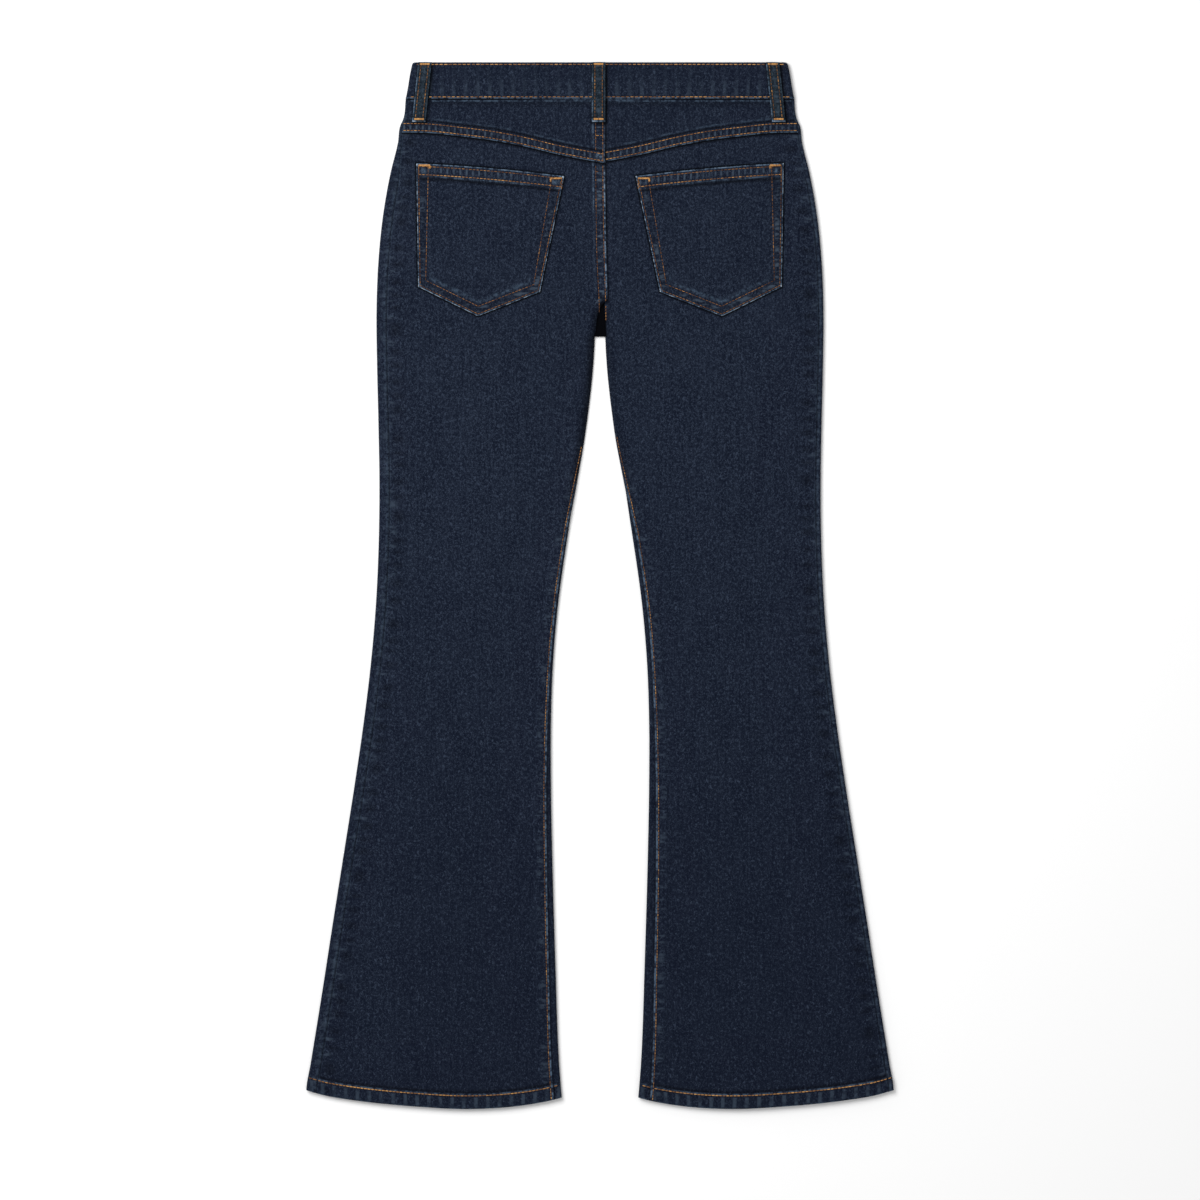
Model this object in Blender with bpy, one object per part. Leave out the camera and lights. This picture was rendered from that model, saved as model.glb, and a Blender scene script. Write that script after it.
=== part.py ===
"""Bootcut jeans, laid flat on their front with the back up.

+X is the right of the back view, +Y runs towards the waist and +Z points up from the surface they lie on.
Lengths are in millimetres until a mesh is made. A place on the garment is given by q, how far it lies
outwards from the centre line on its own side, and by drop, how far it lies below the waist's top edge.
"""

import bmesh
import bpy
import numpy as np

MM = 0.001
SIDES = {"left": -1, "right": 1}

# Overall sizes, with heights along the garment measured down from the waist's top edge
LENGTH = 1045.8
WAISTBAND_HEIGHT = 36.2
YOKE_SIDE_DROP = 70.0
SEAT_SEAM_END = 245.0
CROTCH_DROP = 274.0
HEM_SIDE_DROP = 1027.0
HEM_HEIGHT = 13.5
HEM_LINE = HEM_SIDE_DROP - HEM_HEIGHT
SEAM_GAP = 0.3

# Cloth: its walls, which are double at the waistband, the hem and behind the front belt loops
PANEL_WALL = 1.4
HEM_WALL = 2.2
WAISTBAND_WALL = 2.4
FRONT_TOP_WALL = 2.8
FRONT_TOP_DROP = 66.0
LOOP_WALL = 1.3
POCKET_WALL = 1.3
SOFT_EDGE = 0.5

# Heights of the side folds, and of the soft crown between them
FOLD_HEIGHT = 4.6
HEM_FOLD_HEIGHT = 5.6
WAISTBAND_FOLD_HEIGHT = 6.4
CROWN = 1.5
WAISTBAND_CROWN = 1.0
CROWN_REACH = 40.0

# Shape of a side fold, as shares of its height: how far it turns in, and how high its corners sit
FOLD_BEND = 0.48
FOLD_CORNER = 0.28

# Seams: how far a lap stands up, how wide it is, and how far the outseam lies in from the outline, which
# is little beside the yoke and more below it
LAP_RISE = 0.7
INSEAM_LAP_RISE = 0.5
LAP_WIDTH = 10.5
LAP_STEP = 2.0
YOKE_LAP_WIDTH = 12.0
YOKE_LAP_STEP = 1.5
OUTSEAM_AT_YOKE = 3.0
OUTSEAM_IN = {"left": 10.0, "right": 5.0}
OUTSEAM_LEAVES_FOLD = 74.0
OUTSEAM_FULLY_IN = 125.0

# The crease that the front rise seam leaves between the legs, above the gap
CREASE_CENTRE = 1.8
CREASE_HALF_WIDTH = 0.4
CREASE_DEPTH = 1.3

# How far below the yoke seam, and above the hem, the rows still follow its curve
YOKE_CURVE_REACH = 165.0
HEM_CURVE_START = 850.0

# Rows of sections between those at the seams, and places across a back panel past its lap
SEAT_ROWS = (70.3, 92, 114, 135, 157, 179, 200, 222)
CROTCH_ROWS = (236, 245, 252, 260, 267, 273.2, 274, 282)
LEG_ROWS = tuple(range(300, 1000, 34))
ACROSS_BACK = (0.06, 0.18, 0.34, 0.52, 0.7, 0.86, 0.95, 1.0)
ACROSS_FRONT = (0.85, 0.65, 0.45, 0.25, 0.08, 0.0)
ACROSS_WAISTBAND = (0.94, 0.86, 0.7, 0.5, 0.25, 0.0)

# Half-widths of the outline: outer side of the leg, and inner side below the crotch
OUTLINE = {
    "drop": (
        36, 58, 62, 80, 110, 150, 200, 250, 300, 360, 420,
        480, 540, 600, 660, 720, 800, 900, 1000, 1027, 1035,
    ),
    "outer": (194.1, 197.3, 199.2, 202.0, 209.3, 216.5, 221.6, 223.4, 222.9, 221.5, 220.5,
              221.2, 223.9, 229.0, 236.3, 245.0, 257.6, 273.4, 289.4, 293.6, 293.6),
    "inner": (5.6, 5.6, 5.6, 5.6, 5.6, 5.6, 5.6, 5.6, 7.6, 14.2, 23.5,
              33.4, 41.8, 47.0, 49.1, 49.1, 47.6, 44.6, 40.4, 38.2, 37.4),
}

# How far the front panel reaches onto the upper face at the inseam
INSEAM_IN = {
    "drop": (274, 400, 470, 630, 730, 910, 1046),
    "left": (2.8, 2.8, 2.8, 3.4, 5.4, 7.4, 8.4),
    "right": (2.8, 2.8, 4.4, 5.4, 8.0, 10.4, 12.8),
}

# Inner edge of each back panel above the crotch: the left one laps over the right one
SEAT_EDGE = {
    "drop": (36, 236, 245, 260, 274),
    "left": (-5.0, -5.0, -0.2, 4.2, 8.7),
    "right": (5.3, 5.3, 4.4, 6.6, 8.7),
}

# Lower edge of the yoke, by distance from the centre
YOKE_EDGE = {
    "q": (-5, 39, 78, 110, 139, 171, 205),
    "drop": (101.0, 92.7, 83.5, 77.6, 74.0, 70.6, 70.0),
}

# How far the hem hangs below its corner at the side
HEM_SAG = {
    "q": (37.5, 49, 70, 85, 128, 186, 210, 245, 275, 293.6),
    "sag": (7.2, 10.2, 14.2, 16.2, 18.8, 16.2, 14.2, 10.2, 5.2, 0.0),
}

# Long soft ridges, and troughs where the rise is negative, between two places on the upper face
SOFT_FOLDS = {
    "start_x": (-40, -128, -196, -150, -92, 36, 120, 190, 146, 88),
    "start_drop": (300, 290, 420, 600, 740, 310, 300, 380, 660, 700),
    "end_x": (-158, -116, -150, -205, -112, 150, 134, 158, 196, 96),
    "end_drop": (440, 640, 720, 950, 985, 450, 600, 700, 960, 990),
    "width": (20, 30, 26, 32, 24, 18, 32, 28, 34, 22),
    "rise": (0.5, 0.5, -0.5, 0.6, -0.4, 0.5, 0.4, -0.5, 0.6, -0.4),
}

# Half-width of the waistband, rounded at its top corners
WAISTBAND_OUTLINE = {
    "drop": (0, 1.2, 4, 12, 24, 36.2),
    "half_width": (185.2, 187.2, 188.2, 189.9, 191.8, 194.1),
}

# Corners of a back pocket
BACK_POCKET = {
    "top_inner": (35.6, 113.8),
    "top_outer": (183.5, 100.8),
    "bottom_outer": (181.6, 224.3),
    "tip": (122.0, 253.7),
    "bottom_inner": (60.0, 229.4),
}
POCKET_HEM_RISE = 0.6
POCKET_TOP_BULGE = 1.5
POCKET_LIFT = 0.45
POCKET_ACROSS = (0, 0.03, 0.15, 0.32, 0.5, 0.68, 0.85, 0.97, 1)
POCKET_DOWN = (0, 0.015, 0.1, 0.115, 0.3, 0.5, 0.7, 0.88, 0.98, 1)
POCKET_HEM_END = 0.11

# Belt loops on the back: centre at the top and at the lower end, which lies on a seam's lap
BELT_LOOPS = {
    "back_left": (-174.8, -181.1),
    "back_centre": (-1.4, -1.4),
    "back_right": (172.3, 178.7),
}
LOOP_LENGTH = 59.7
LOOP_WIDTH = 13.4
LOOP_BOW = 0.7
LOOP_LIFT = 0.4
LOOP_ROWS = (0, 0.8, 6, 18, 30, 37.7, 45, 53, 58.9, 59.7)
LOOP_ACROSS = (-0.5, -0.4, 0.4, 0.5)
LOOP_LEAVES_BAND = 37.7
LOOP_MEETS_YOKE = 53.0
FRONT_LOOP_X = 86.0
FRONT_LOOP_WALL = 1.2

# Front pocket openings: a quarter of an ellipse round the place where the waistband meets the side seam
OPENING_CENTRE = 206.0
OPENING_WIDTH = 96.0
OPENING_DEPTH = 84.0
OPENING_POINTS = 13

# Waist button, by its centre and by the rings of its profile from the face to the back
BUTTON_X = 15.0
BUTTON_DROP = 18.0
BUTTON_PROFILE = {
    "radius": (6.8, 7.6, 8.5, 8.5),
    "height": (0.3, 0.0, 0.2, 1.3),
}
BUTTON_SIDES = 32

# Cutters reach from below the underside to above every piece, and past the outline
CUT_BELOW = -5.0
CUT_ABOVE = 20.0
CUT_PAST = 250.0

DENIM = (0.0152, 0.0203, 0.0355)
DENIM_LIGHT = (0.022, 0.030, 0.046)
AGED_BRASS = (0.36, 0.22, 0.11)


def between(value, places, sizes):
    """A smooth curve through the rows of a table: a cubic between each two, with their neighbours' slopes."""
    places = np.asarray(places, float)
    sizes = np.asarray(sizes, float)
    value = np.clip(np.asarray(value, float), places[0], places[-1])
    slopes = np.gradient(sizes, places)
    row = np.clip(np.searchsorted(places, value, side="right") - 1, 0, len(places) - 2)
    span = places[row + 1] - places[row]
    t = (value - places[row]) / span
    start = (1 + 2 * t) * (1 - t) ** 2 * sizes[row] + t * (1 - t) ** 2 * span * slopes[row]
    end = t * t * (3 - 2 * t) * sizes[row + 1] - t * t * (1 - t) * span * slopes[row + 1]
    return start + end


def fade(value, start, end):
    """0 before start, 1 after end, and a smooth step between."""
    t = np.clip((np.asarray(value, float) - start) / (end - start), 0, 1)
    return t * t * (3 - 2 * t)


def outer_half(drop):
    return between(drop, OUTLINE["drop"], OUTLINE["outer"])


def inner_half(drop):
    return between(drop, OUTLINE["drop"], OUTLINE["inner"])


def outseam_place(row, side):
    """Where the outseam lies on the upper face: close to the fold beside the yoke, and further in below."""
    further = (OUTSEAM_IN[side] - OUTSEAM_AT_YOKE) * fade(row, OUTSEAM_LEAVES_FOLD, OUTSEAM_FULLY_IN)
    return outer_half(row) - OUTSEAM_AT_YOKE - further


def hem_sag(q, row):
    """How far a place hangs below its row: all of the hem's curve in its turn, and less further up."""
    return between(q, HEM_SAG["q"], HEM_SAG["sag"]) * fade(row, HEM_CURVE_START, HEM_LINE - 1.0)


def yoke_curve(q):
    """How far the yoke seam lies below its side end."""
    return between(q, YOKE_EDGE["q"], YOKE_EDGE["drop"]) - YOKE_SIDE_DROP


def back_inner_edge(row, side):
    """Where a back panel or yoke ends inwards: at the seat seam, and at the inseam below the crotch."""
    seat = np.interp(row, SEAT_EDGE["drop"], SEAT_EDGE[side])
    inseam = inner_half(row) + np.interp(row, INSEAM_IN["drop"], INSEAM_IN[side]) + SEAM_GAP
    return np.where(row < CROTCH_DROP, seat, inseam)


def in_hem(row):
    """1 in the hem's turn, which is thicker, and 0 above it."""
    return fade(row, HEM_LINE - 1.0, HEM_LINE)


def fold_height(row):
    return FOLD_HEIGHT + (HEM_FOLD_HEIGHT - FOLD_HEIGHT) * in_hem(row)


def panel_wall(row):
    return PANEL_WALL + (HEM_WALL - PANEL_WALL) * in_hem(row)


def soft_folds(x, drop):
    """The sum of the long folds: each is a bell curve across its line, and fades to nothing at its ends."""
    total = np.zeros(np.broadcast(x, drop).shape)
    for start_x, start_drop, end_x, end_drop, width, rise in zip(*SOFT_FOLDS.values()):
        run_x = end_x - start_x
        run_drop = end_drop - start_drop
        length = np.hypot(run_x, run_drop)
        along = ((x - start_x) * run_x + (drop - start_drop) * run_drop) / length**2
        across = ((x - start_x) * run_drop - (drop - start_drop) * run_x) / length
        total += rise * np.exp(-((across / width) ** 2)) * np.sin(np.pi * np.clip(along, 0, 1))
    return total


def crown(distance, height):
    """A soft rise away from an edge, which levels out to its full height."""
    return height * (1 - np.exp(-np.maximum(distance, 0) / CROWN_REACH))


def top_height(q, row, side):
    """Height of the upper face: the fold's height at the outline, a soft crown inside it, and the folds."""
    x = SIDES[side] * q
    q = np.abs(q)
    above = np.maximum(CROTCH_DROP - row, 0)
    to_gap = np.hypot(np.maximum(q - inner_half(row), 0), above)
    distance = np.minimum(outer_half(row) - q, to_gap)
    return fold_height(row) + crown(distance, CROWN) + soft_folds(x, row)


def waistband_top(q, half_width):
    return WAISTBAND_FOLD_HEIGHT + crown(half_width - np.abs(q), WAISTBAND_CROWN)


def placed(q, drop, height, side):
    """Points in metres, from places on one side of the garment."""
    q, drop, height = np.broadcast_arrays(q, drop, height)
    return np.stack([SIDES[side] * q, LENGTH / 2 - drop, height], axis=-1) * MM


def material(name, colour, roughness, metallic):
    made = bpy.data.materials.new(name)
    made.use_nodes = True
    shader = made.node_tree.nodes["Principled BSDF"]
    shader.inputs["Base Color"].default_value = (*colour, 1.0)
    shader.inputs["Roughness"].default_value = roughness
    shader.inputs["Metallic"].default_value = metallic
    return made


def add_object(name, bm, colour, roughness=0.85, metallic=0.0):
    bmesh.ops.recalc_face_normals(bm, faces=bm.faces)
    mesh = bpy.data.meshes.new(name)
    bm.to_mesh(mesh)
    bm.free()
    mesh.shade_smooth()
    mesh.set_sharp_from_angle(angle=np.radians(40))
    mesh.materials.append(material(name, colour, roughness, metallic))
    made = bpy.data.objects.new(name, mesh)
    bpy.context.scene.collection.objects.link(made)
    return made


def wall(name, outer, inner, colour, cells=None):
    """A closed sheet of cloth between two grids of points.

    Both grids have a row for each section and a column for each place along it. Each cell that is kept gives
    a face on either grid, and each edge that only one kept cell has is closed from one grid to the other.
    """
    rows, columns = outer.shape[:2]
    if cells is None:
        cells = np.ones((rows - 1, columns - 1), bool)
    kept = np.zeros((rows, columns), bool)
    for row, column in np.argwhere(cells):
        kept[row : row + 2, column : column + 2] = True
    bm = bmesh.new()
    used = [tuple(at) for at in np.argwhere(kept)]
    out, back = ({at: bm.verts.new(grid[at]) for at in used} for grid in (outer, inner))
    rim = set()
    for row, column in np.argwhere(cells):
        corners = [(row, column), (row + 1, column), (row + 1, column + 1), (row, column + 1)]
        bm.faces.new([out[corner] for corner in corners])
        bm.faces.new([back[corner] for corner in reversed(corners)])
        for start, end in zip(corners, corners[1:] + corners[:1]):
            if (end, start) in rim:
                rim.remove((end, start))
            else:
                rim.add((start, end))
    for start, end in sorted(rim):
        bm.faces.new([out[end], out[start], back[start], back[end]])
    return add_object(name, bm, colour)


def prism(name, outline, top):
    """A cutter: an outline in (x, drop), raised from below the underside to a height."""
    bm = bmesh.new()
    low, high = (
        [bm.verts.new((x * MM, (LENGTH / 2 - drop) * MM, height * MM)) for x, drop in outline]
        for height in (CUT_BELOW, top)
    )
    bm.faces.new(low)
    bm.faces.new(high)
    for i in range(len(outline)):
        bm.faces.new([low[i - 1], low[i], high[i], high[i - 1]])
    cutter = add_object(name, bm, DENIM)
    cutter.hide_render = True
    cutter.display_type = "WIRE"
    return cutter


def boolean(target, cutter, operation):
    modifier = target.modifiers.new(cutter.name, "BOOLEAN")
    modifier.operation = operation
    modifier.object = cutter


def yoke_rows():
    lap = YOKE_SIDE_DROP - YOKE_LAP_WIDTH
    return np.array([WAISTBAND_HEIGHT + SEAM_GAP, 48.0, lap - YOKE_LAP_STEP, lap, 62.0, YOKE_SIDE_DROP])


def leg_rows():
    """Rows from the yoke seam to the hem, which the back and the front panel share."""
    hem = (HEM_LINE - 1.0, HEM_LINE, HEM_SIDE_DROP - 1.0, HEM_SIDE_DROP)
    return np.array([*SEAT_ROWS, *CROTCH_ROWS, *LEG_ROWS, *hem])


def back_columns(row, side):
    """Places across a back panel or a yoke: three at the lap of the inner seam, then closer near the side."""
    inner = back_inner_edge(row, side)[:, None]
    outer = (outseam_place(row, side) - SEAM_GAP)[:, None]
    past_lap = inner + LAP_WIDTH + LAP_STEP
    across = past_lap + np.array(ACROSS_BACK) * (outer - past_lap)
    return np.hstack([inner, inner + LAP_WIDTH, past_lap, across])


def inner_lap(row, side, columns):
    """Rise of the lap at the inner edge: the left panel's at the seat, each back panel's at the inseam."""
    seat = LAP_RISE if side == "left" else 0.0
    rise = seat + (INSEAM_LAP_RISE - seat) * fade(row, SEAT_SEAM_END, CROTCH_DROP)
    return np.where(np.arange(columns) < 2, rise[:, None], 0.0)


def back_leg(side):
    """The upper layer from the yoke seam to the hem, with its laps raised and its hem thicker."""
    row = leg_rows()
    q = back_columns(row, side)
    down = row[:, None]
    from_yoke = yoke_curve(q) * (1 - fade(down, row[0], row[0] + YOKE_CURVE_REACH))
    drop = down + from_yoke + hem_sag(q, down)
    base = top_height(q, down, side)
    last = (np.arange(len(row)) == len(row) - 1)[:, None]
    upper = base + inner_lap(row, side, q.shape[1]) - SOFT_EDGE * last
    lower = base - panel_wall(down)
    return wall(f"leg_back_{side}", placed(q, drop, upper, side), placed(q, drop, lower, side), DENIM)


def yoke(side):
    """The upper layer between the waistband and the yoke seam, whose lap is raised."""
    row = yoke_rows()
    q = back_columns(row, side)
    order = np.arange(len(row))
    drop = row[:, None] + yoke_curve(q) * np.minimum(order / 2, 1.0)[:, None]
    seam_lap = np.where(order > 2, LAP_RISE, 0.0)[:, None]
    base = top_height(q, drop, side)
    upper = base + np.maximum(inner_lap(row, side, q.shape[1]), seam_lap)
    return wall(f"yoke_{side}", placed(q, drop, upper, side), placed(q, drop, base - PANEL_WALL, side), DENIM)


def front_leg(side):
    """The lower layer, turned up round the outer fold and the inner fold onto the upper face.

    Its columns run from the outseam over the outer fold, along the underside, and over the inner fold to the
    inseam. Above the gap between the legs the inner fold is left out. Just above it a strip stays on the
    upper face, up to where the seat seam ends, with the crease between it and its neighbour.
    """
    row = np.concatenate([yoke_rows(), leg_rows()])
    leg = row >= CROTCH_DROP
    outer = outer_half(row)
    inner = inner_half(row + hem_sag(inner_half(row), row))
    fold = fold_height(row)
    cloth = panel_wall(row)
    bend = fold * FOLD_BEND
    corner = fold * FOLD_CORNER
    inside_corner = (fold - 2 * cloth) / 4
    outseam = outseam_place(row, side)
    inseam = back_inner_edge(row, side) - SEAM_GAP
    edge = np.full(len(row), SEAM_GAP / 2)
    start = np.where(leg, inner + bend, edge)
    across = [start + share * (outer - bend - start) for share in ACROSS_FRONT]
    turned = np.where(leg, start, SIDES[side] * CREASE_CENTRE + CREASE_HALF_WIDTH)
    at_fold = np.where(leg, inner, edge)
    within_fold = np.where(leg, inner + cloth, edge)
    outer_q = [outseam, outer - bend, outer, outer, outer - bend, *across, at_fold, at_fold, turned, inseam]
    inner_q = [outseam, outer - bend, outer - cloth, outer - cloth, outer - bend, *across]
    inner_q += [within_fold, within_fold, turned, inseam]

    outseam_top = top_height(outseam, row, side)
    inseam_top = top_height(inseam, row, side)
    turned_top = np.where(leg, fold, top_height(0.0, row, side) - CREASE_DEPTH)
    underside = np.zeros(len(row))
    underside[-1] = SOFT_EDGE
    inside = np.where(row < FRONT_TOP_DROP, FRONT_TOP_WALL, cloth)
    outer_z = [outseam_top, fold, fold - corner, corner, underside, *[underside] * len(across)]
    outer_z += [corner, fold - corner, turned_top, inseam_top]
    inner_z = [outseam_top - cloth, fold - cloth, fold - cloth - inside_corner, cloth + inside_corner]
    inner_z += [cloth, cloth, *[inside] * (len(across) - 1)]
    inner_z += [cloth + inside_corner, fold - cloth - inside_corner, turned_top - cloth, inseam_top - cloth]

    outer_q, outer_z = np.stack(outer_q, axis=1), np.stack(outer_z, axis=1)
    inner_q, inner_z = np.stack(inner_q, axis=1), np.stack(inner_z, axis=1)
    cells = np.ones((len(row) - 1, outer_q.shape[1] - 1), bool)
    cells[row[:-1] < CROTCH_DROP, -4:-1] = False
    cells[row[:-1] < SEAT_SEAM_END, -1] = False
    drop = row[:, None] + hem_sag(outer_q, row[:, None])
    outer_face, inner_face = placed(outer_q, drop, outer_z, side), placed(inner_q, drop, inner_z, side)
    return wall(f"leg_front_{side}", outer_face, inner_face, DENIM, cells)


def waistband():
    """One strip of double cloth: from the centre front along the lower layer, round a fold, over the back."""
    row = np.array(WAISTBAND_OUTLINE["drop"])
    half = np.array(WAISTBAND_OUTLINE["half_width"])
    level = np.ones(len(row))
    soft = np.where(row == 0, SOFT_EDGE, 0.0)
    cloth = WAISTBAND_WALL * level
    fold = WAISTBAND_FOLD_HEIGHT * level
    bend = WAISTBAND_FOLD_HEIGHT * FOLD_BEND
    corner = WAISTBAND_FOLD_HEIGHT * FOLD_CORNER
    inside_corner = (fold - 2 * cloth) / 4
    start = level * SEAM_GAP / 2
    across = [share * (half - bend) for share in ACROSS_WAISTBAND]
    top = [waistband_top(q, half) for q in across]
    outer_q = [start, half / 2, half - bend, half, half, half - bend, *across]
    inner_q = [start, half / 2, half - bend, half - cloth, half - cloth, half - bend, *across]
    outer_z = [soft, soft, soft, corner * level, fold - corner, fold - soft, *[z - soft for z in top]]
    inner_z = [cloth, cloth, cloth, cloth + inside_corner, fold - cloth - inside_corner, fold - cloth]
    inner_z += [z - cloth for z in top]
    grids = []
    for q, z in ((outer_q, outer_z), (inner_q, inner_z)):
        q, z = np.stack(q, axis=1), np.stack(z, axis=1)
        right = placed(q, row[:, None], z, "right")
        left = placed(q[:, -2::-1], row[:, None], z[:, -2::-1], "left")
        grids.append(np.concatenate([right, left], axis=1))
    return wall("waistband", *grids, DENIM)


def back_pocket(side):
    """A patch on the back panel, made from the panel's own height and moved out."""
    u = np.array(POCKET_ACROSS)[None, :, None]
    v = np.array(POCKET_DOWN)[:, None, None]
    corner = {name: np.array(place) for name, place in BACK_POCKET.items()}
    top = corner["top_inner"] * (1 - u) + corner["top_outer"] * u
    top = top - np.array([0, POCKET_TOP_BULGE]) * 4 * u * (1 - u)
    inner_half_of_end = corner["bottom_inner"] * (1 - 2 * u) + corner["tip"] * 2 * u
    outer_half_of_end = corner["tip"] * (2 - 2 * u) + corner["bottom_outer"] * (2 * u - 1)
    end = np.where(u <= 0.5, inner_half_of_end, outer_half_of_end)
    q, drop = np.moveaxis(top * (1 - v) + end * v, -1, 0)
    u, v = u[..., 0], v[..., 0]
    base = top_height(q, drop, side) + POCKET_LIFT
    rim = (u == 0) | (u == 1) | (v == 0) | (v == 1)
    upper = base + POCKET_WALL + POCKET_HEM_RISE * (v < POCKET_HEM_END) - SOFT_EDGE * rim
    return wall(f"back_pocket_{side}", placed(q, drop, upper, side), placed(q, drop, base, side), DENIM)


def belt_loop(name, top_x, bottom_x):
    """A strip over the waistband, bowed up a little, that comes down onto the yoke."""
    row = np.array(LOOP_ROWS)[:, None]
    across = np.array(LOOP_ACROSS)
    x = top_x + (bottom_x - top_x) * row / LOOP_LENGTH + across * LOOP_WIDTH
    bow = LOOP_BOW * np.sin(np.pi * np.clip(row / LOOP_MEETS_YOKE, 0, 1))
    on_band = waistband_top(x, WAISTBAND_OUTLINE["half_width"][-2]) + bow
    on_yoke = top_height(x, np.maximum(row, WAISTBAND_HEIGHT), "right") + LAP_RISE
    share = fade(row, LOOP_LEAVES_BAND, LOOP_MEETS_YOKE)
    base = on_band * (1 - share) + on_yoke * share + LOOP_LIFT
    rim = (np.abs(across) == 0.5) | (row == 0) | (row == LOOP_LENGTH)
    upper = base + LOOP_WALL - SOFT_EDGE * rim
    top, under = placed(x, row, upper, "right"), placed(x, row, base, "right")
    return wall(f"belt_loop_{name}", top, under, DENIM_LIGHT)


def front_belt_loop(side, parts):
    """A loop flush with the flat underside, in a recess of the waistband and of the front panel."""
    half = LOOP_WIDTH / 2
    room = half + SEAM_GAP
    end = LOOP_LENGTH + SEAM_GAP
    outline = [(q, drop) for q, drop in ((-room, CUT_BELOW), (room, CUT_BELOW), (room, end), (-room, end))]
    outline = [(SIDES[side] * FRONT_LOOP_X + q, drop) for q, drop in outline]
    recess = prism(f"loop_recess_{side}", outline, FRONT_LOOP_WALL + SEAM_GAP)
    for part in parts:
        boolean(part, recess, "DIFFERENCE")
    row = np.array([0, 1.0, LOOP_LENGTH])[:, None]
    q = FRONT_LOOP_X + np.array([-half, half])
    soft = np.where(row == 0, SOFT_EDGE / 2, 0.0)
    lower, upper = placed(q, row, soft, side), placed(q, row, FRONT_LOOP_WALL - soft, side)
    return wall(f"belt_loop_front_{side}", lower, upper, DENIM_LIGHT)


def opening_outline(side, grow):
    """The corner that a front pocket opening leaves: a quarter of an ellipse, closed past the outline."""
    angle = np.linspace(0, np.pi / 2, OPENING_POINTS)
    q = OPENING_CENTRE - (OPENING_WIDTH + grow) * np.cos(angle)
    drop = WAISTBAND_HEIGHT + (OPENING_DEPTH + grow) * np.sin(angle)
    corners = [(q[0], 0.0), *zip(q, drop), (CUT_PAST, drop[-1]), (CUT_PAST, 0.0)]
    return [(SIDES[side] * corner_q, corner_drop) for corner_q, corner_drop in corners]


def front_pocket_facing(side, panel):
    """The corner of the front that the pocket opening leaves to the facing behind it."""
    facing = panel.copy()
    facing.name = f"front_pocket_facing_{side}"
    facing.data = panel.data.copy()
    facing.data.materials[0] = material(facing.name, DENIM_LIGHT, 0.85, 0.0)
    bpy.context.scene.collection.objects.link(facing)
    boolean(facing, prism(f"facing_{side}", opening_outline(side, -SEAM_GAP / 2), CUT_ABOVE), "INTERSECT")
    boolean(panel, prism(f"opening_{side}", opening_outline(side, SEAM_GAP / 2), CUT_ABOVE), "DIFFERENCE")


def waist_button(band):
    """A flat-faced metal button in a round recess of the waistband."""
    turn = 2 * np.pi * np.arange(BUTTON_SIDES) / BUTTON_SIDES
    centre = np.array([BUTTON_X, BUTTON_DROP])
    circle = np.stack([np.cos(turn), np.sin(turn)], axis=1)
    room = max(BUTTON_PROFILE["radius"]) + SEAM_GAP
    recess = prism("button_recess", list(centre + room * circle), max(BUTTON_PROFILE["height"]) + SEAM_GAP)
    boolean(band, recess, "DIFFERENCE")
    bm = bmesh.new()
    rings = []
    for radius, height in zip(*BUTTON_PROFILE.values()):
        q, drop = (centre + radius * circle).T
        rings.append([bm.verts.new(point) for point in placed(q, drop, height, "right")])
    for low, high in zip(rings, rings[1:]):
        for i in range(BUTTON_SIDES):
            bm.faces.new([low[i - 1], low[i], high[i], high[i - 1]])
    bm.faces.new(rings[0])
    bm.faces.new(rings[-1])
    return add_object("waist_button", bm, AGED_BRASS, roughness=0.4, metallic=1.0)


def main():
    for old in list(bpy.data.objects):
        bpy.data.objects.remove(old)
    band = waistband()
    waist_button(band)
    for side in SIDES:
        panel = front_leg(side)
        front_belt_loop(side, (band, panel))
        front_pocket_facing(side, panel)
        back_leg(side)
        yoke(side)
        back_pocket(side)
    for name, (top_x, bottom_x) in BELT_LOOPS.items():
        belt_loop(name, top_x, bottom_x)


main()
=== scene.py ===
# %% [markdown]
# # Dark bootcut jeans, laid flat with the back up
#
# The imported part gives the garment's true shape: two layers of cloth, folded at the sides, with every cut
# piece as its own solid. This lesson dresses it. Each piece becomes a finer wall of denim on the same form,
# with the laps, puckers and creases that sewing leaves, and real threads lie along the seams.

import bpy
import numpy as np
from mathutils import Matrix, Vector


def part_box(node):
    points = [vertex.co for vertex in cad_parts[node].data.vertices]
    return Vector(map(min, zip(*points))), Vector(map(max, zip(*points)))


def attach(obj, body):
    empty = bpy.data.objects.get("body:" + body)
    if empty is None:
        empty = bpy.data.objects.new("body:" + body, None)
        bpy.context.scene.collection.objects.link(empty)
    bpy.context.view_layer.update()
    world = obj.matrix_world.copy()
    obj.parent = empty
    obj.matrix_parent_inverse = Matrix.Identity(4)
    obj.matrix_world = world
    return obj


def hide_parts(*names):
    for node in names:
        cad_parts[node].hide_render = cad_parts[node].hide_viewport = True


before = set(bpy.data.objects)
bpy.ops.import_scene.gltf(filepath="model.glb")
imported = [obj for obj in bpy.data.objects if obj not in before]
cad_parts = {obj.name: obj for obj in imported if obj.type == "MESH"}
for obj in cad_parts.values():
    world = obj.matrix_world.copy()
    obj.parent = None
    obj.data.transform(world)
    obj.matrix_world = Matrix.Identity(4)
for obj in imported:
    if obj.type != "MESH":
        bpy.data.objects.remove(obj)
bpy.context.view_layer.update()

# %% [markdown]
# ## Sizes
#
# A tailor measures down from the waist and out from the centre. So a place here is (x, drop): x in
# millimetres to the right of the centre, and drop in millimetres below the waist's top edge. The whole
# length comes from the frame. The short tables say how wide the garment is at a few drops, and a smooth
# curve through them gives every place between.

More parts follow.
